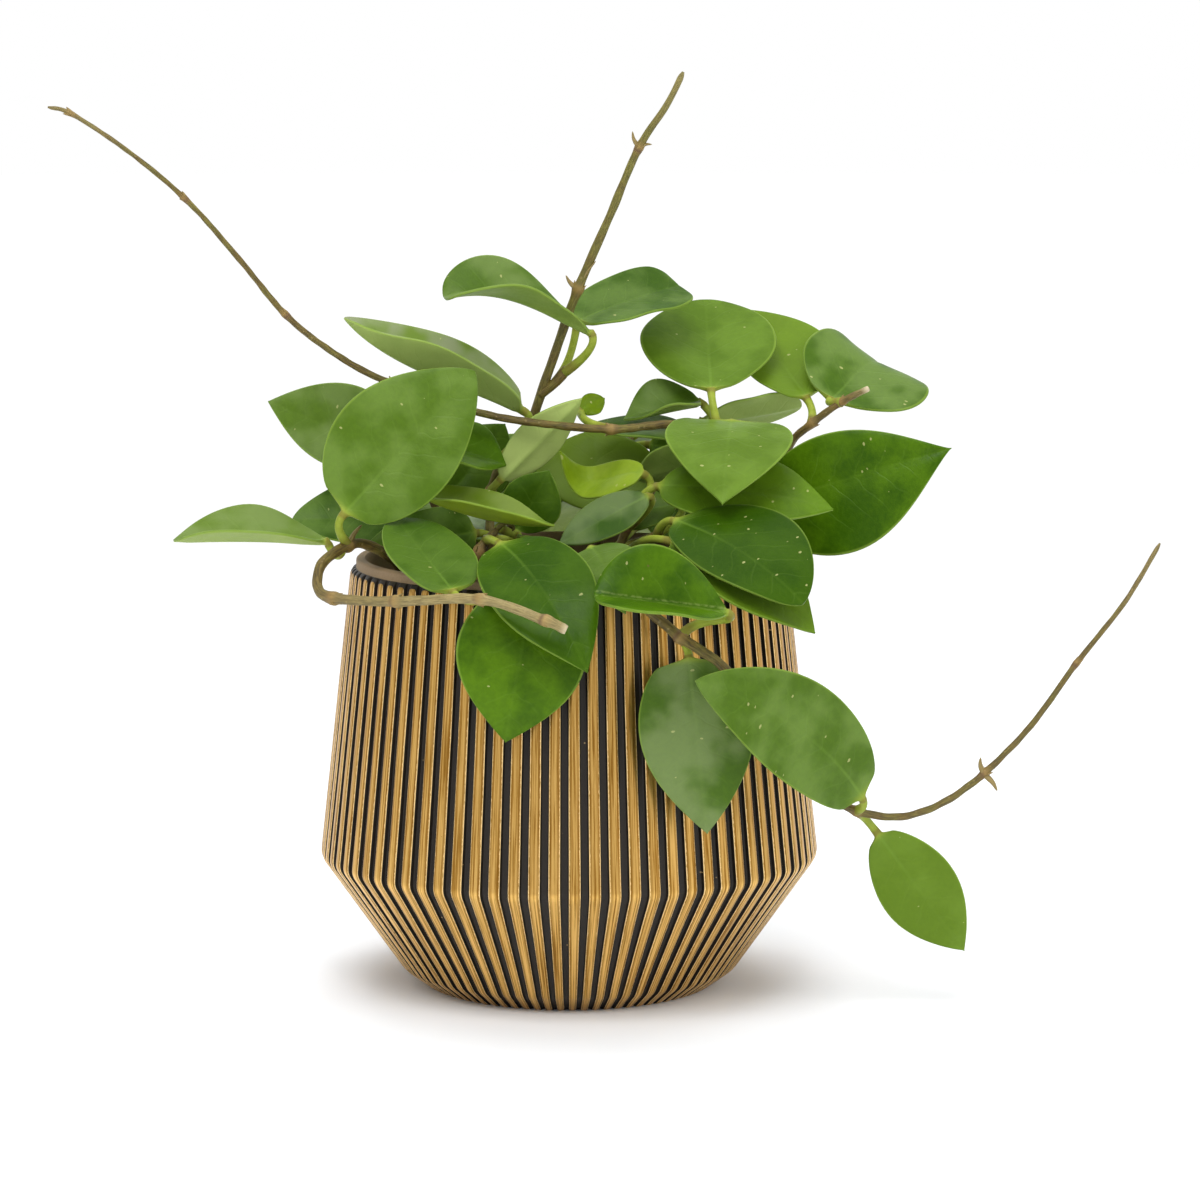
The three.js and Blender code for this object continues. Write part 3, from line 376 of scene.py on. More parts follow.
class Skin:
    """The vertices, faces and vertex values of one piece, gathered in millimetres."""

    def __init__(self, *marks):
        self.places = []
        self.faces = []
        self.marks = {mark: [] for mark in marks}
        self.count = 0

    def add(self, places, faces, **marks):
        places = np.asarray(places, float).reshape(-1, 3)
        self.places.append(places)
        self.faces.extend([tuple(v + self.count for v in face) for face in faces])
        for mark, values in self.marks.items():
            given = np.broadcast_to(np.asarray(marks.get(mark, 0), float), (len(places),))
            values.append(given)
        self.count += len(places)

    def build(self, name, material, sharp=None):
        """Makes the object, with every mark as a float attribute of its vertices."""
        mesh = bpy.data.meshes.new(name)
        mesh.from_pydata((np.concatenate(self.places) * MM).tolist(), [], self.faces)
        for mark, values in self.marks.items():
            layer = mesh.attributes.new(mark, "FLOAT", "POINT")
            layer.data.foreach_set("value", np.concatenate(values).astype(np.float32))
        mesh.materials.append(material)
        mesh.validate()
        mesh.shade_smooth()
        if sharp is not None:
            mesh.set_sharp_from_angle(angle=math.radians(sharp))
        return put(name, mesh)


def loft_faces(rings, sides, caps=True):
    """Quads between rings of equally many vertices, and one face over each end."""
    faces = []
    for r in range(rings - 1):
        for s in range(sides):
            a = r * sides + s
            b = r * sides + (s + 1) % sides
            faces.append((a, b, b + sides, a + sides))
    if caps:
        last = (rings - 1) * sides
        faces.append(tuple(reversed(range(sides))))
        faces.append(tuple(range(last, last + sides)))
    return faces


def curve(points, steps):
    """The smooth curve through points, with steps places from each point to the next."""
    points = np.array(points, float)
    before = np.vstack((2 * points[0] - points[1], points[:-2]))
    after = np.vstack((points[2:], 2 * points[-1] - points[-2]))
    found = []
    for p0, p1, p2, p3 in zip(before, points[:-1], points[1:], after):
        for f in np.arange(steps) / steps:
            leave = (p2 - p0) / 2
            arrive = (p3 - p1) / 2
            second = 3 * (p2 - p1) - 2 * leave - arrive
            third = 2 * (p1 - p2) + leave + arrive
            found.append(p1 + leave * f + second * f ** 2 + third * f ** 3)
    found.append(points[-1])
    return np.array(found)


def bezier(points, u):
    """The place at u, from 0 to 1, on the Bezier curve with these control points."""
    while len(points) > 1:
        points = points[:-1] * (1 - u) + points[1:] * u
    return points[0]


def even_path(points, step):
    """Places about step apart along the curve, their distances, and each point's distance."""
    fine = 24
    dense = curve(points, fine)
    lengths = np.linalg.norm(np.diff(dense, axis=0), axis=1)
    reach = np.concatenate(([0], np.cumsum(lengths)))
    marks = np.linspace(0, reach[-1], max(int(reach[-1] / step), 3) + 1)
    places = np.stack([np.interp(marks, reach, dense[:, i]) for i in range(3)], axis=1)
    return places, marks, reach[::fine]


def path_frames(places):
    """Two directions square to the path at every place, kept from turning along it."""
    ahead = unit(np.gradient(places, axis=0))
    across = np.array(FIRST_ACROSS)
    firsts = []
    for direction in ahead:
        across = across - direction * across.dot(direction)
        across = across / np.linalg.norm(across)
        firsts.append(across)
    firsts = np.array(firsts)
    return firsts, np.cross(ahead, firsts)


def tube(places, radii, sides, flat=1):
    """Rings round a path. radii has a radius for each place, or for each vertex of a ring."""
    first, second = path_frames(places)
    angles = circle(sides)
    radii = np.asarray(radii, float)
    radii = radii.reshape(len(places), -1) * np.ones(sides)
    return (places[:, None]
            + first[:, None] * (radii * np.cos(angles))[..., None]
            + second[:, None] * (radii * flat * np.sin(angles))[..., None])


class Graph:
    """Short calls for the nodes of one material, or of the world."""

    def __init__(self, owner, shader="Principled BSDF"):
        owner.use_nodes = True
        self.owner = owner
        self.tree = owner.node_tree
        self.shader = self.tree.nodes[shader]

    def feed(self, socket, value):
        if isinstance(value, bpy.types.NodeSocket):
            self.tree.links.new(value, socket)
        elif hasattr(value, "__len__") and socket.type == "RGBA":
            socket.default_value = (*value, 1)
        else:
            socket.default_value = value

    def node(self, kind, inputs=(), **settings):
        made = self.tree.nodes.new("ShaderNode" + kind)
        for key, value in settings.items():
            setattr(made, key, value)
        for key, value in dict(inputs).items():
            self.feed(made.inputs[key], value)
        return made

    def set(self, **values):
        for key, value in values.items():
            self.feed(self.shader.inputs[key.replace("_", " ")], value)

    def mark(self, name):
        return self.node("Attribute", attribute_name=name).outputs["Fac"]

    def math(self, operation, a, b=0.0, c=0.0):
        return self.node("Math", {0: a, 1: b, 2: c}, operation=operation).outputs[0]

    def linear(self, a, factor, start):
        return self.math("MULTIPLY_ADD", a, factor, start)

    def times(self, a, b):
        return self.math("MULTIPLY", a, b)

    def plus(self, a, b):
        return self.math("ADD", a, b)

    def ease(self, value, low, high, to_low=0.0, to_high=1.0):
        inputs = {"Value": value, "From Min": low, "From Max": high, "To Min": to_low,
                  "To Max": to_high}
        return self.node("MapRange", inputs, interpolation_type="SMOOTHSTEP").outputs[0]

    def mix(self, share, a, b):
        return self.node("Mix", {0: share, 6: a, 7: b}, data_type="RGBA").outputs[2]

    def vector(self, x, y, z=0.0):
        return self.node("CombineXYZ", {0: x, 1: y, 2: z}).outputs[0]

    def place(self):
        return self.node("TexCoord").outputs["Object"]

    def noise(self, vector, scale, detail=2.0, roughness=0.5):
        inputs = {"Vector": vector, "Scale": scale, "Detail": detail, "Roughness": roughness}
        return self.node("TexNoise", inputs).outputs[0]

    def cells(self, vector, scale):
        """Distance to the middle of the nearest cell, and two random numbers of that cell."""
        made = self.node("TexVoronoi", {"Vector": vector, "Scale": scale})
        chance = self.node("SeparateColor", {0: made.outputs["Color"]}).outputs
        return made.outputs["Distance"], chance[0], chance[1]

    def bump(self, height, distance, strength):
        made = self.node("Bump", {"Height": height, "Distance": distance, "Strength": strength})
        self.set(Normal=made.outputs[0])


def leaf_material(name, deep, fresh, pale, under):
    """Waxy leaf: mottled green, faint veins, a pale rim, cream flecks, patches of painted grey
    sheen and a lighter back.
    """
    g = Graph(bpy.data.materials.new(name))
    x, y = g.mark("across"), g.mark("along")
    edge, face, reach = g.mark("edge"), g.mark("face"), g.mark("reach")
    pallor, dull, seed = g.mark("pale"), g.mark("dull"), g.mark("seed")
    off = g.math("ABSOLUTE", x)
    local = g.vector(x, y, seed)
    broad = g.noise(local, 0.07)
    fine = g.noise(local, 0.7, 3.0, 0.6)
    share = g.plus(g.ease(broad, 0.36, 0.64, 0, 0.8), g.ease(fine, 0.3, 0.7, -0.1, 0.2))
    colour = g.mix(share, deep, fresh)
    colour = g.mix(pallor, colour, pale)
    colour = g.mix(g.times(g.mark("dark"), 0.75), colour, (0.014, 0.048, 0.001))

    slant = g.linear(off, -0.09, g.times(y, 0.13))
    wander = g.times(g.noise(local, 0.16, 1.0), 0.5)
    count = g.math("FRACT", g.plus(slant, wander))
    vein = g.ease(g.math("ABSOLUTE", g.math("SUBTRACT", count, 0.5)), 0.0, 0.07, 1, 0)
    vein = g.times(vein, g.ease(edge, 0.5, 0.85, 1, 0))
    colour = g.mix(g.times(vein, 0.06), colour, (0.2, 0.34, 0.05))

    near = g.ease(off, 0.15, 0.75, 1, 0)
    line = g.times(near, g.ease(reach, 0.0, 0.5, 0.32, 0.06))
    colour = g.mix(line, colour, (0.17, 0.3, 0.035))
    base = g.times(g.ease(reach, 0.0, 0.12, 0.45, 0), g.ease(edge, 0.1, 0.9, 1, 0.2))
    colour = g.mix(base, colour, (0.2, 0.33, 0.04))
    streak = g.math("ABSOLUTE", g.math("SUBTRACT", off, 1.3))
    streak = g.times(g.ease(streak, 0.1, 0.6, 1, 0), g.mark("streaks"))
    streak = g.times(streak, g.ease(fine, 0.35, 0.6))
    colour = g.mix(g.times(streak, 0.22), colour, (0.4, 0.48, 0.16))
    # Patches of painted grey sheen, as strong as the leaf's sheen share, which also makes the leaf
    # rougher below.
    painted_sheen = g.times(dull, g.ease(broad, 0.35, 0.62, 0.1, 0.75))
    colour = g.mix(painted_sheen, colour, (0.24, 0.28, 0.15))

    ragged = g.times(g.noise(local, 1.6, 3.0, 0.7), 0.9)
    torn = g.vector(g.plus(x, ragged), g.linear(y, 1.7, ragged), seed)
    distance, chance, size = g.cells(torn, 0.24)
    extent = g.times(g.linear(size, 0.13, 0.03), g.ease(chance, 0.68, 0.74))
    fleck = g.math("LESS_THAN", distance, extent)
    colour = g.mix(g.times(fleck, 0.55), colour, (0.5, 0.5, 0.2))
    distance, chance, size = g.cells(local, 0.09)
    extent = g.times(g.linear(size, 0.04, 0.02), g.ease(chance, 0.8, 0.85))
    spot = g.math("LESS_THAN", distance, extent)
    colour = g.mix(g.times(spot, 0.7), colour, (0.12, 0.09, 0.03))

    back = g.mix(g.times(share, 0.5), under, fresh)
    back = g.mix(g.times(pallor, 0.6), back, (0.5, 0.6, 0.2))
    back = g.mix(g.times(near, 0.3), back, (0.3, 0.42, 0.1))
    colour = g.mix(face, back, colour)
    rim = g.ease(edge, 0.955, 0.985)
    colour = g.mix(g.times(rim, 0.45), colour, (0.24, 0.36, 0.05))

    bark = g.mix(g.noise(local, 0.5, 3.0), (0.2, 0.27, 0.025), (0.36, 0.42, 0.06))
    colour = g.mix(g.mark("petiole"), colour, bark)
    colour = g.mix(g.times(g.mark("joint"), 0.75), colour, (0.16, 0.09, 0.03))

    gloss = g.linear(fine, 0.14, 0.24)
    gloss = g.plus(gloss, g.times(dull, 0.2))
    gloss = g.plus(gloss, g.times(g.math("SUBTRACT", 1.0, face), 0.18))
    g.set(Base_Color=colour, Roughness=gloss, IOR=1.45, Specular_IOR_Level=0.11)
    pores = g.noise(local, 2.6, 2.0, 0.6)
    height = g.linear(vein, -0.35, g.times(pores, 0.3))
    height = g.plus(height, g.times(fine, 0.8))
    g.bump(height, 0.00022, 0.5)
    return g.owner


def stem_material():
    """Bark that goes from brown to olive green, streaked lengthways, tan at its nodes."""
    g = Graph(bpy.data.materials.new("stem_bark"))
    around, along, seed = g.mark("around"), g.mark("along"), g.mark("seed")
    streak = g.noise(g.vector(g.times(around, 1.6), g.times(along, 0.22), seed), 1.4, 4.0, 0.65)
    blotch = g.noise(g.vector(around, along, seed), 0.16, 3.0, 0.6)
    grain = g.ease(streak, 0.3, 0.7)
    brown = g.mix(grain, (0.055, 0.036, 0.006), (0.17, 0.115, 0.02))
    olive = g.mix(grain, (0.08, 0.074, 0.008), (0.2, 0.18, 0.03))
    green = g.plus(g.mark("green"), g.ease(blotch, 0.3, 0.7, -0.3, 0.3))
    colour = g.mix(g.ease(green, 0.0, 1.0), brown, olive)
    tan = g.mix(grain, (0.22, 0.17, 0.06), (0.4, 0.32, 0.13))
    colour = g.mix(g.times(g.mark("tan"), 0.85), colour, tan)
    colour = g.mix(g.times(g.mark("knot"), 0.65), colour, (0.34, 0.21, 0.06))
    colour = g.mix(g.mark("scar"), colour, (0.1, 0.05, 0.022))
    distance, chance, _ = g.cells(g.vector(around, along, 3.0), 0.55)
    dots = g.math("LESS_THAN", distance, g.times(g.ease(chance, 0.6, 0.7), 0.22))
    colour = g.mix(g.times(dots, 0.3), colour, (0.4, 0.3, 0.12))
    colour = g.mix(g.mark("pale"), colour, (0.62, 0.52, 0.34))
    g.set(Base_Color=colour, Roughness=g.linear(streak, 0.3, 0.42), IOR=1.45)
    g.bump(g.plus(streak, g.times(dots, 0.5)), 0.0003, 0.7)
    return g.owner


def pot_material():
    """Black satin glaze with gold brushed along the raised ribs, and a plain brown rim. The gold
    has painted shade on the rib shoulders and above the belly crease, and a painted highlight
    along each edge.
    """
    g = Graph(bpy.data.materials.new("pot_glaze"))
    share, rib = g.mark("share"), g.mark("rib")
    around, high = g.mark("around"), g.mark("high")
    edge_noise = g.noise(g.vector(g.times(rib, 7.3), high, 0.0), 0.9, 3.0, 0.65)
    slow_noise = g.noise(g.vector(g.times(rib, 3.1), high, 4.0), 0.09)
    wander = g.plus(g.times(g.math("SUBTRACT", edge_noise, 0.5), 0.1),
                    g.times(g.math("SUBTRACT", slow_noise, 0.5), 0.05))
    reach = g.plus(share, wander)
    painted = g.times(g.ease(reach, 0.3, 0.309, 1, 0), g.mark("ribbed"))
    painted = g.times(painted, g.ease(g.mark("drop"), 0.19, 0.23, 1, 0))
    # A small raised bead of paint along each gold edge, which the colour lights as a painted
    # highlight.
    bead_and_painted_highlight = g.times(g.ease(reach, 0.24, 0.255), painted)

    lines = g.vector(g.times(around, 1.9), g.times(high, 0.03), 0.0)
    brush = g.noise(lines, 1.0, 4.0, 0.6)
    grain = g.noise(g.vector(around, high, 1.0), 1.1)
    gold = g.mix(g.ease(brush, 0.36, 0.62), (0.5, 0.27, 0.05), (0.86, 0.54, 0.165))
    gold = g.mix(g.ease(grain, 0.5, 0.85, 0, 0.2), gold, (0.9, 0.6, 0.22))
    # Painted shade darkens the gold on the rib shoulders; where the brush strokes are thin the
    # paint is also worn darker.
    painted_shoulder_shade = g.times(g.ease(share, 0.11, 0.17), g.ease(brush, 0.35, 0.65, 0.8, 0.4))
    wear_and_painted_shade = g.math("MAXIMUM", painted_shoulder_shade, g.ease(brush, 0.34, 0.5, 0.8, 0))
    gold = g.mix(wear_and_painted_shade, gold, (0.2, 0.085, 0.008))
    # Painted shade: all the gold above the belly crease is darker.
    thin = g.ease(high, 40.5, 43.0, 0, 0.36)
    gold = g.mix(thin, gold, (0.22, 0.095, 0.01))
    # Painted highlight along each gold edge.
    gold = g.mix(g.times(bead_and_painted_highlight, 0.95), gold, (0.97, 0.69, 0.31))

    black = g.mix(grain, (0.011, 0.008, 0.005), (0.022, 0.016, 0.011))
    distance, chance, _ = g.cells(g.vector(around, high, 2.0), 0.35)
    speck = g.math("LESS_THAN", distance, g.times(g.ease(chance, 0.86, 0.9), 0.1))
    black = g.mix(speck, black, (0.3, 0.2, 0.09))
    plain = g.mix(grain, (0.2, 0.132, 0.066), (0.28, 0.195, 0.108))
    dark = g.mix(g.mark("rim"), black, plain)
    colour = g.mix(painted, dark, gold)
    rough_gold = g.linear(grain, 0.16, 0.24)
    rough_dark = g.linear(g.mark("rim"), 0.2, 0.45)
    rough = g.node("Mix", {0: painted, 2: rough_dark, 3: rough_gold}).outputs[0]
    g.set(Base_Color=colour, Roughness=rough, Metallic=g.times(painted, 0.92),
          Specular_IOR_Level=0.3)
    height = g.plus(g.times(painted, 0.45), g.times(bead_and_painted_highlight, 0.3))
    height = g.plus(height, g.times(grain, 0.12))
    g.bump(height, 0.0002, 0.7)
    return g.owner


def soil_material():
    """Dark potting soil with brown fibres and a few grey stones."""
    g = Graph(bpy.data.materials.new("potting_soil"))
    place = g.place()
    coarse = g.noise(place, 260, 4.0, 0.7)
    fine = g.noise(place, 1400, 3.0, 0.7)
    colour = g.mix(g.ease(coarse, 0.35, 0.7), (0.009, 0.006, 0.004), (0.04, 0.024, 0.014))
    colour = g.mix(g.ease(fine, 0.55, 0.75, 0, 0.5), colour, (0.09, 0.055, 0.03))
    tone = g.mark("tone")
    colour = g.mix(g.ease(tone, 0.5, 0.8), colour, (0.075, 0.042, 0.02))
    colour = g.mix(g.ease(tone, 0.86, 0.9), colour, (0.2, 0.19, 0.17))
    g.set(Base_Color=colour, Roughness=g.linear(fine, 0.3, 0.62))
    g.bump(g.plus(coarse, fine), 0.0008, 0.8)
    return g.owner


def floor_material():
    """White paper that goes over into the white of the background far from the pot."""
    g = Graph(bpy.data.materials.new("paper_floor"))
    place = g.place()
    paper = g.mix(g.noise(place, 30, 3.0), (0.91, 0.93, 0.96), (0.93, 0.95, 0.98))
    far = g.ease(g.node("VectorMath", {0: place}, operation="LENGTH").outputs["Value"], 0.3, 1.4)
    g.set(Base_Color=g.mix(far, paper, (0, 0, 0)), Roughness=0.75, Specular_IOR_Level=0.1)
    g.set(Emission_Color=(1, 1, 1), Emission_Strength=far)
    return g.owner


def leaf_outline(leaf, t):
    """Half-width of a blade as a share of its widest, t from base to tip."""
    t = np.clip(t, 0, 1)
    power = math.log(0.5) / math.log(leaf["wide"])
    sine = np.maximum(np.sin(math.pi * t ** power), 0)
    return sine ** (leaf["blunt"] + (leaf["sharp"] - leaf["blunt"]) * t)


class Blade:
    """The middle surface of a leaf's blade: t from base to tip, s from its left edge to its
    right. Its slow unevenness is drawn from the leaf's own seed."""

    def __init__(self, leaf, rng):
        self.leaf = leaf
        self.base = np.array(leaf["base"], float)
        along = np.array(leaf["tip"], float) - self.base
        self.length = np.linalg.norm(along)
        self.along = along / self.length
        face = np.array(leaf["face"], float)
        self.face = unit(face - self.along * face.dot(self.along))
        self.side = np.cross(self.along, self.face)
        self.ripple = [(rng.uniform(0.2, 0.5), rng.uniform(1.1, 2.2), rng.uniform(0, 2 * math.pi))
                       for _ in range(2)]
        self.swell = swells(rng, *BLADE_SWELLS)

    def midrib(self, t):
        leaf = self.leaf
        t = np.asarray(t, float)[..., None]
        bow = 4 * t * (1 - t)
        late = 6.75 * t * t * (1 - t)
        return (self.base + self.along * self.length * t
                + self.face * self.length * (leaf["arch"] * bow + leaf["hook"] * late)
                + self.side * self.length * leaf["sweep"] * bow)

    def directions(self, t):
        """Ahead, up and right at places along the midrib."""
        ahead = unit(self.midrib(t + SLOPE_STEP) - self.midrib(t - SLOPE_STEP))
        up = unit(self.face - ahead * (ahead @ self.face)[..., None])
        turn = np.radians(self.leaf["twist"] * (np.asarray(t) - 0.5))[..., None]
        up = up * np.cos(turn) + np.cross(ahead, up) * np.sin(turn)
        return ahead, up, np.cross(ahead, up)

    def half_width(self, t, s):
        leaf = self.leaf
        least = BASE_HALF_WIDTH + (TIP_HALF_WIDTH - BASE_HALF_WIDTH) * t
        lean = 1 + leaf["skew"] * np.where(s < 0, 1, -1)
        return np.maximum(leaf["width"] / 2 * lean * leaf_outline(leaf, t), least)

    def surface(self, t, s):
        leaf = self.leaf
        _, up, right = self.directions(t)
        share = leaf_outline(leaf, t)
        half = self.half_width(t, s)
        raised = np.where(s < 0, leaf["left"], leaf["right"])
        rise = np.radians(raised) * np.sqrt(share)
        out = np.sqrt(s * s + VALLEY ** 2) - VALLEY
        height = half * (out * np.sin(rise) + leaf["cup"] * out * out)
        flutter = sum(most * np.clip(way * s, 0, 1) ** 2 * np.sin(2 * math.pi * count * t + phase)
                      for way, (most, count, phase) in zip((-1, 1), self.ripple))
        calm = smooth(0, 0.2, t) * smooth(0, 0.12, 1 - t)
        height = height + calm * (flutter + self.swell(s, t))
        return (self.midrib(t) + right * (half * s * np.cos(rise))[..., None]
                + up * height[..., None])

    def normal(self, t, s):
        step = SLOPE_STEP
        forward = self.surface(t + step, s) - self.surface(t - step, s)
        sideways = (self.surface(t, np.minimum(s + step, 1))
                    - self.surface(t, np.maximum(s - step, -1)))
        return unit(np.cross(sideways, forward))


def blade_loops(leaf, blade):
    """Closed loops round the blade, each from the left edge over the face and back below."""
    rows = (1 - np.cos(math.pi * np.arange(BLADE_ROWS + 1) / BLADE_ROWS)) / 2
    spread = (np.arange(HALF_COLUMNS + 1) / HALF_COLUMNS) ** 1.25
    turns = np.arange(1, ROLL_STEPS + 1) / ROLL_STEPS * math.pi / 2
    thick_share = np.concatenate((np.ones(HALF_COLUMNS + 1), np.cos(turns)))
    loops, marks = [], []
    for t in rows:
        fade = min(leaf_outline(leaf, t) * 2, 1)
        halves = []
        for way in (-1, 1):
            inner = 1 - min(EDGE_HALF_THICKNESS / float(blade.half_width(t, way)), 0.6)
            halves.append(np.concatenate((spread * inner, inner + (1 - inner) * np.sin(turns))))
        s = np.concatenate((-halves[0][::-1], halves[1][1:]))
        thick = np.concatenate((thick_share[::-1], thick_share[1:]))
        tt = np.full_like(s, t)
        place = blade.surface(tt, s)
        normal = blade.normal(tt, s)
        extra = (MIDRIB_HALF_THICKNESS - EDGE_HALF_THICKNESS) * (1 - np.abs(s)) * fade
        half_thick = (EDGE_HALF_THICKNESS + extra) * thick
        x = s * blade.half_width(t, s)
        groove = GROOVE_DEPTH * peak(x, GROOVE_REACH) * smooth(0, 0.08, t) * (1 - 0.7 * t)
        ridge = RIDGE_HEIGHT * peak(x, RIDGE_REACH) * (1 - t) ** 0.8
        upper = place + normal * (half_thick - groove)[:, None]
        lower = place - normal * (half_thick + ridge * thick)[:, None]
        loops.append(np.concatenate((upper, lower[-2:0:-1])))
        face = np.concatenate((np.ones(len(s)), np.zeros(len(s) - 2)))
        marks.append(dict(across=and_back(x), along=np.full(len(face), t * blade.length),
                          reach=t, edge=and_back(np.abs(s)), face=face))
    return loops, marks, s


def petiole_loops(leaf, blade, s):
    """Loops of the petiole from the stem's middle to the blade, which match the blade's."""
    root = np.array(leaf["root"], float)
    base = blade.midrib(0.0)
    back = unit(base - blade.midrib(0.05))
    straight = base + back * PETIOLE_BEND * np.linalg.norm(base - root)
    path = np.array((root, *(leaf["bend"] or (straight,)), base), float)
    _, _, right = blade.directions(np.array(0.0))
    left = -right
    shares = np.arange(PETIOLE_ROWS) / PETIOLE_ROWS
    loops = []
    top = np.sqrt(np.maximum(1 - s * s, 0))
    turn_x = and_back(-s)
    turn_y = np.concatenate((top, -top[-2:0:-1]))
    for u in shares[::-1]:
        ahead = unit(bezier(np.diff(path, axis=0), u))
        left = unit(left - ahead * left.dot(ahead))
        up = np.cross(ahead, left)
        # Thicker at the stem, thinnest along its middle and thicker again at the blade.
        radius = PETIOLE_RADIUS * (1 + 0.22 * (1 - smooth(0, 0.4, u)) - 0.08 * smooth(0.3, 0.6, u)
                                   + 0.1 * smooth(0.75, 1, u))
        loops.append(bezier(path, u) + radius * (left * turn_x[:, None] + up * turn_y[:, None]))
    return loops[::-1], shares, (turn_x, turn_y)


def build_leaf(leaf, material):
    number = leaf["number"] - 1
    rng = np.random.default_rng(LEAF_SEED + number)
    blade = Blade(leaf, rng)
    loops, marks, s = blade_loops(leaf, blade)
    stalk, shares, (turn_x, turn_y) = petiole_loops(leaf, blade, s)
    side = len(turn_x)
    _, up, right = blade.directions(np.array(0.0))
    for k, mark in enumerate(marks[:ROUND_ROWS]):
        t = mark["reach"]
        own = smooth(0, 0.05, t)
        radius = PETIOLE_RADIUS * 1.05 * (1 - 0.4 * own)
        round_loop = blade.midrib(t) + radius * (-right * turn_x[:, None] + up * turn_y[:, None])
        loops[k] = round_loop * (1 - own) + loops[k] * own
    drawn = [rng.uniform(*limits) for limits in DRAWN_LOOKS]
    pale, dark, dull = LOOKS.get(leaf["number"], drawn)
    dark = DEEP_GREEN.get(leaf["number"], dark)
    skin = Skin("across", "along", "reach", "edge", "face", "petiole", "joint", "pale", "dark",
                "dull", "streaks", "seed")
    reach = np.concatenate((np.zeros(len(stalk)), [m["reach"] for m in marks]))
    stalk_share = np.concatenate((shares, np.full(len(marks), 1.0)))
    petiole = 1 - smooth(0.0, 0.05, reach)
    joint = (peak(stalk_share - 0.96, 0.06) * (1 - smooth(0, 0.02, reach))
             + peak(stalk_share - 0.12, 0.1) * 0.8)
    per = {key: np.concatenate([np.zeros(len(stalk) * side)] + [m[key] for m in marks])
           for key in ("across", "along", "edge", "face")}
    below = len(stalk) * side
    per["across"][:below] = np.tile(-turn_x * PETIOLE_RADIUS, len(stalk))
    per["along"][:below] = np.repeat((shares - 1) * 12, side)
    per["face"][:below] = 1
    skin.add(stalk + loops, loft_faces(len(reach), side), **per,
             reach=np.repeat(reach, side), petiole=np.repeat(petiole, side),
             joint=np.repeat(np.clip(joint, 0, 1), side),
             pale=pale, dark=dark, dull=dull, streaks=leaf["number"] in STREAKED_LEAVES,
             seed=number * 7.7)
    return skin.build(leaf["name"] + "_blade", material)


def add_tube(skin, points, radii, seed, flat=1, **marks):
    """A short tapered shoot or scale, rounded at its end."""
    places, reach, _ = even_path(points, TUBE_STEP)
    share = reach / reach[-1]
    radius = np.interp(share, np.linspace(0, 1, len(radii)), radii)
    # The last tenth is rounded.
    radius = radius * np.sqrt(np.clip(1 - np.maximum(share - 0.9, 0) ** 2 * 90, 0.05, 1))
    rings = tube(places, radius, STEM_SIDES, flat)
    skin.add(rings, loft_faces(len(places), STEM_SIDES), seed=seed,
             around=np.tile(np.arange(STEM_SIDES), len(places)),
             along=np.repeat(reach, STEM_SIDES), **marks)


def build_stem(name, stem, number, material):
    rng = np.random.default_rng(STEM_SEED + number)
    skin = Skin("around", "along", "seed", "green", "tan", "knot", "scar", "pale")
    places, reach, point_reach = even_path(stem["points"], STEM_STEP)
    share = reach / reach[-1]
    thick, thin = stem["radius"]
    radius = thick + (thin - thick) * share
    knot, scar, pale = np.zeros((3, len(places)))
    for node in stem["nodes"]:
        away = reach - point_reach[node]
        swell = peak(away, NODE_REACH)
        radius = radius * (1 + NODE_SWELL * swell + SCAR_SWELL * peak(away - 0.8, SCAR_REACH))
        knot = np.maximum(knot, swell)
        scar = np.maximum(scar, peak(away + 0.9, SCAR_REACH))
    angles = circle(STEM_SIDES)
    uneven = swells(rng, *BARK_SWELLS)(reach[:, None] * 0.5, np.cos(angles) * 1.5)
    radii = radius[:, None] * (1 + uneven)
    # A cut tip is pale with a raised edge, and a growing one is rounded.
    if stem.get("cut"):
        pale[-2:] = (0.4, 1)
        radii[-1] *= 0.88
        radii[-2] *= 1.06
    else:
        radii[-3:] *= np.array([1, 0.8, 0.4])[:, None]
    rings = tube(places, radii, STEM_SIDES)
    at_root, at_tip = stem["green"]
    tan_from, tan_to, tan_most = stem.get("tan", (0.86, 1, 0.5))
    tan = smooth(tan_from, tan_to, share) * tan_most
    each = dict(along=reach, green=at_root + (at_tip - at_root) * share, tan=tan, knot=knot,
                scar=scar * 0.8, pale=pale)
    skin.add(rings, loft_faces(len(places), STEM_SIDES), seed=number * 5.3,
             around=np.tile(radius.mean() * np.abs(angles - math.pi), len(places)),
             **{mark: np.repeat(values, STEM_SIDES) for mark, values in each.items()})
    for node in stem["nodes"]:
        place = np.array(stem["points"][node], float)
        near = int(np.argmin(np.linalg.norm(places - place, axis=1)))
        ahead = unit(places[min(near + 1, len(places) - 1)] - places[near - 1])
        out = unit(np.cross(ahead, rng.normal(size=3)))
        for way in (-1, 1):
            start = place + out * way * radius[near] * 0.7
            step = ahead * rng.uniform(1.2, 2.4) + out * way * rng.uniform(0.5, 1.1)
            add_tube(skin, (start, start + step * 0.5 + ahead * 0.2, start + step),
                     BUD_RADII, number, flat=0.6, tan=0.5, knot=0.6)
    for point, step, size in stem.get("scales", ()):
        root = np.array(stem["points"][point], float)
        step = np.array(step, float)
        bowed = root + step * 0.55 + np.cross(unit(step), (0, 1, 0)) * 0.5
        add_tube(skin, (root, bowed, root + step), (size * 0.9, size, size * 0.7, size * 0.25),
                 number, flat=0.55, tan=0.75, knot=0.3)
    if "side" in stem:
        add_tube(skin, stem["side"], SIDE_RADII, number, green=0.4, knot=0.15)
    for points, radii in stem.get("shoots", ()):
        add_tube(skin, points, radii, number, green=1.4)
    return skin.build(name + "_bark", material)


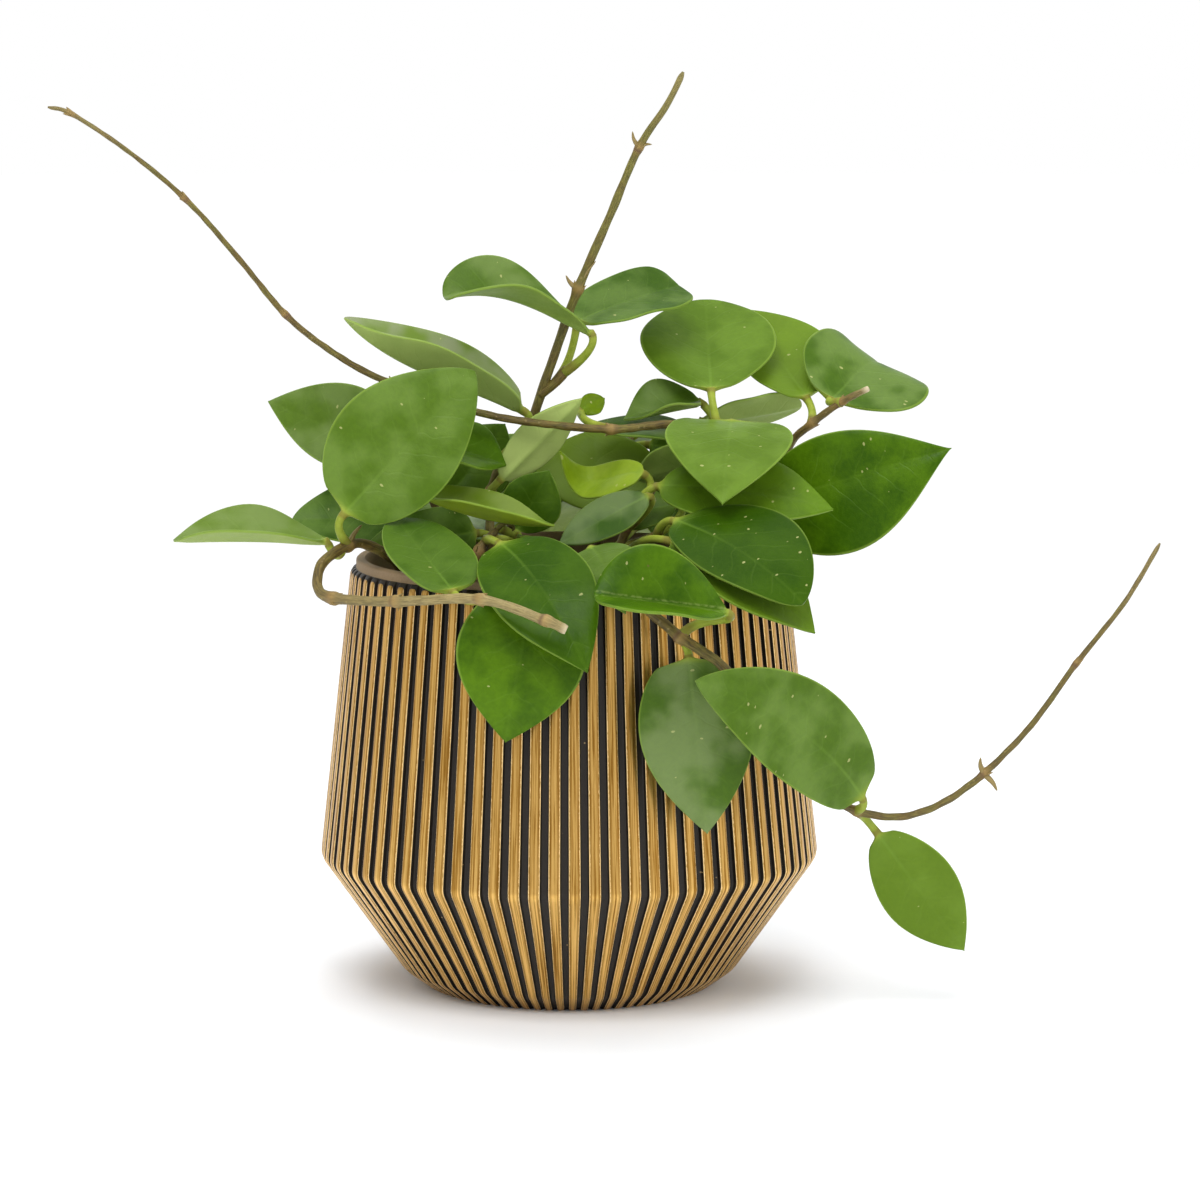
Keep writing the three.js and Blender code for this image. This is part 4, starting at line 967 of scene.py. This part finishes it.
def wall_radius(height):
    """Radius of the pot's outside over its rib tops."""
    heights = (0, HEEL[1], BELLY[1], SHOULDER[1])
    radii = (FOOT_RADIUS, HEEL[0], BELLY[0], SHOULDER[0])
    ease = max(CREASE - abs(height - BELLY[1]), 0) / CREASE
    return np.interp(height, heights, radii) - CREASE_ROUNDING * ease * ease


def inside_outline(top, gap=0):
    """Radius and height inside the pot at its floor, widest ring and top, a gap from the wall."""
    thick = WALL + RIB_RELIEF + gap
    slope = (SHOULDER[0] - BELLY[0]) / (SHOULDER[1] - BELLY[1])
    return ((HEEL[0] - thick - HEEL_FILL, FLOOR + gap), (BELLY[0] - thick, BELLY[1]),
            (BELLY[0] - thick + slope * (top - BELLY[1]), top))


def build_pot(material):
    pitch = 2 * math.pi / RIBS
    section = [(-share, depth) for share, depth in reversed(RIB_SECTION[1:])] + list(RIB_SECTION)
    section.append((0.5, 1))
    shares, depths = np.tile(np.array(section).T, RIBS)
    numbers = np.repeat(np.arange(RIBS), len(section))
    sides = len(numbers)
    angles = (numbers + RIB_PHASE + shares) * pitch - math.pi / 2
    wobble = swells(np.random.default_rng(POT_SEED), *POT_WOBBLE)

    skin = Skin("share", "drop", "rib", "around", "high", "ribbed", "rim")
    # Rings stand closer together at the crease and where the ribs end.
    heights = [0, 0.5, 2.5, 5, 6, 9, 14, 19, 24, 29, 34, 37.5, 39.2, 40, 40.6, 41, 41.4, 42, 42.8,
               *np.linspace(46, 126, 17), 127.6, 128.4, 129.1, 129.7, 130.1, 130.4, 130.5]
    rings, ribbed, drops = [], [], []
    end_start = SHOULDER[1] - RIB_END
    for height in heights:
        fall = np.clip((height - end_start) / RIB_END, 0, 1)
        stands = math.sqrt(max(1 - fall * fall, 0))
        relief = RIB_RELIEF * (1 + (depths - 1) * stands)
        foot = FOOT_ROUNDING if height == 0 else 0
        radius = wall_radius(height) - relief - foot
        bend = wobble(numbers * 2.7, height / 11) * (np.abs(shares) < 0.45)
        turn = angles + bend * pitch
        rings.append(ring(radius, height, turn))
        ribbed.append(stands > 0.05)
        drops.append(relief / RIB_RELIEF)
    lip = SHOULDER[0] - RIB_RELIEF - LIP_SET_BACK
    floor, belly, (inside, _) = inside_outline(RIM_HEIGHT)
    plain = [(lip, SHOULDER[1] + LIP_GAP)]
    for radius, corner in ((lip, OUTER_CORNER), (inside, INNER_CORNER)):
        plain += [(radius + out * RIM_CORNER, RIM_HEIGHT + up * RIM_CORNER) for out, up in corner]
    plain += [(inside + INSIDE_STEP[0], RIM_HEIGHT + INSIDE_STEP[1]), belly, floor]
    for radius, height in plain:
        heights.append(height)
        rings.append(ring(radius, height, angles))
        ribbed.append(False)
        drops.append(np.ones(sides))
    count = len(rings)
    skin.add(rings, loft_faces(count, sides),
             share=np.tile(np.abs(shares), count), drop=np.concatenate(drops),
             rib=np.tile(numbers, count),
             around=np.tile(BELLY[0] * (angles + math.pi / 2), count),
             high=np.repeat(heights, sides), ribbed=np.repeat(ribbed, sides),
             rim=np.repeat(np.arange(count) >= count - len(plain), sides))
    return skin.build("pot_body", material, POT_SHARP)


def build_soil(material):
    rng = np.random.default_rng(SOIL_SEED)
    outline = inside_outline(SOIL_HEIGHT, SOIL_GAP)
    edge = outline[-1][0]
    angles = circle(SOIL_SIDES)
    rough = swells(rng, *SOIL_LUMPS)
    rougher = swells(rng, *SOIL_GRAINS)

    def height_at(x, y):
        out = np.hypot(x, y) / edge
        mound = SOIL_MOUND * (1 - out * out)
        return SOIL_HEIGHT + mound + (rough(x, y) + rougher(x, y)) * smooth(0, 0.15, 1 - out)

    rings = [ring(radius, height, angles) for radius, height in outline]
    for r in range(1, SOIL_RINGS):
        radius = edge * (1 - r / SOIL_RINGS)
        height = height_at(radius * np.cos(angles), radius * np.sin(angles))
        rings.append(ring(radius, height, angles))
    skin = Skin("tone")
    skin.add(rings, loft_faces(len(rings), SOIL_SIDES))
    corners = np.array([(x, y, z) for x in (-1, 1) for y in (-1, 1) for z in (-1, 1)], float)
    for _ in range(CRUMBS):
        out = edge * math.sqrt(rng.uniform(0, 0.985))
        way = rng.uniform(0, 2 * math.pi)
        x, y = out * math.cos(way), out * math.sin(way)
        size = rng.uniform(*CRUMB_SIZE) * np.array([1, rng.uniform(0.5, 1), rng.uniform(0.4, 0.8)])
        turn, _ = np.linalg.qr(rng.normal(size=(3, 3)))
        if np.linalg.det(turn) < 0:
            turn[:, 0] *= -1
        chunk = corners * size * rng.uniform(0.6, 1.15, (8, 1))
        chunk = chunk @ turn.T + (x, y, float(height_at(x, y)) + 0.15)
        skin.add(chunk, CRUMB_FACES, tone=rng.uniform(0, 1))
    return skin.build("potting_soil", material, SOIL_SHARP)


def build_floor(material):
    """A wide plain floor under the pot's foot."""
    rings = [ring(radius, 0, circle(FLOOR_SIDES)) for radius in FLOOR_RADII]
    skin = Skin()
    skin.add(rings, loft_faces(len(rings), FLOOR_SIDES, caps=False))
    skin.build("floor", material)


def area_light(name, place, aim, size, power, mirrored):
    """A soft rectangular lamp, which gloss shows only where mirrored."""
    lamp = bpy.data.lights.new(name, "AREA")
    lamp.shape = "RECTANGLE"
    lamp.size, lamp.size_y = size
    lamp.energy = power
    holder = put(name, lamp)
    holder.location = place
    holder.rotation_euler = (Vector(aim) - Vector(place)).to_track_quat("-Z", "Y").to_euler()
    holder.visible_glossy = mirrored


def light_scene():
    """A white studio: brightest low down and behind, dimmer overhead and towards the front."""
    world = bpy.data.worlds.new("studio")
    bpy.context.scene.world = world
    g = Graph(world, "Background")
    way = g.node("SeparateXYZ", {0: g.node("TexCoord").outputs["Generated"]}).outputs
    glow = g.times(g.ease(way["Z"], 0.0, 0.9, 1.0, 0.5), g.ease(way["Y"], -1.0, 0.1, 0.85, 1))
    seen = g.node("LightPath").outputs["Is Camera Ray"]
    g.set(Color=(1, 1, 1), Strength=g.node("Mix", {0: seen, 2: glow, 3: 1.0}).outputs[0])
    for lamp in LAMPS:
        area_light(*lamp)


def place_camera():
    lens = bpy.data.cameras.new("camera")
    lens.sensor_width = SENSOR
    lens.lens = FOCAL_PIXELS * SENSOR / FRAME_PIXELS
    lens.clip_start = NEAREST
    camera = put("camera", lens)
    camera.location = Vector(CAMERA_PLACE) * MM
    camera.rotation_euler = (math.radians(90 - CAMERA_PITCH), 0, 0)
    bpy.context.scene.camera = camera


def dress(piece, node):
    """The piece rides with the part's root and stands in for its node, which is hidden."""
    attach(piece, "root")
    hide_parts(node)


bpy.context.scene.view_settings.view_transform = "Standard"
place_camera()
light_scene()
build_floor(floor_material())

dress(build_pot(pot_material()), "pot")
dress(build_soil(soil_material()), "soil")

bark = stem_material()
for number, (name, stem) in enumerate(STEMS.items()):
    dress(build_stem(name, stem, number, bark), name)

grown = leaf_material("leaf", (0.033, 0.09, 0.001), (0.08, 0.175, 0.003), (0.17, 0.27, 0.022),
                      (0.2, 0.3, 0.05))
young = leaf_material("young_leaf", (0.2, 0.31, 0.005), (0.3, 0.43, 0.015), (0.36, 0.47, 0.03),
                      (0.24, 0.34, 0.03))
for one in LEAVES:
    is_young = one["number"] in YOUNG_LEAVES
    dress(build_leaf(one, young if is_young else grown), one["name"])
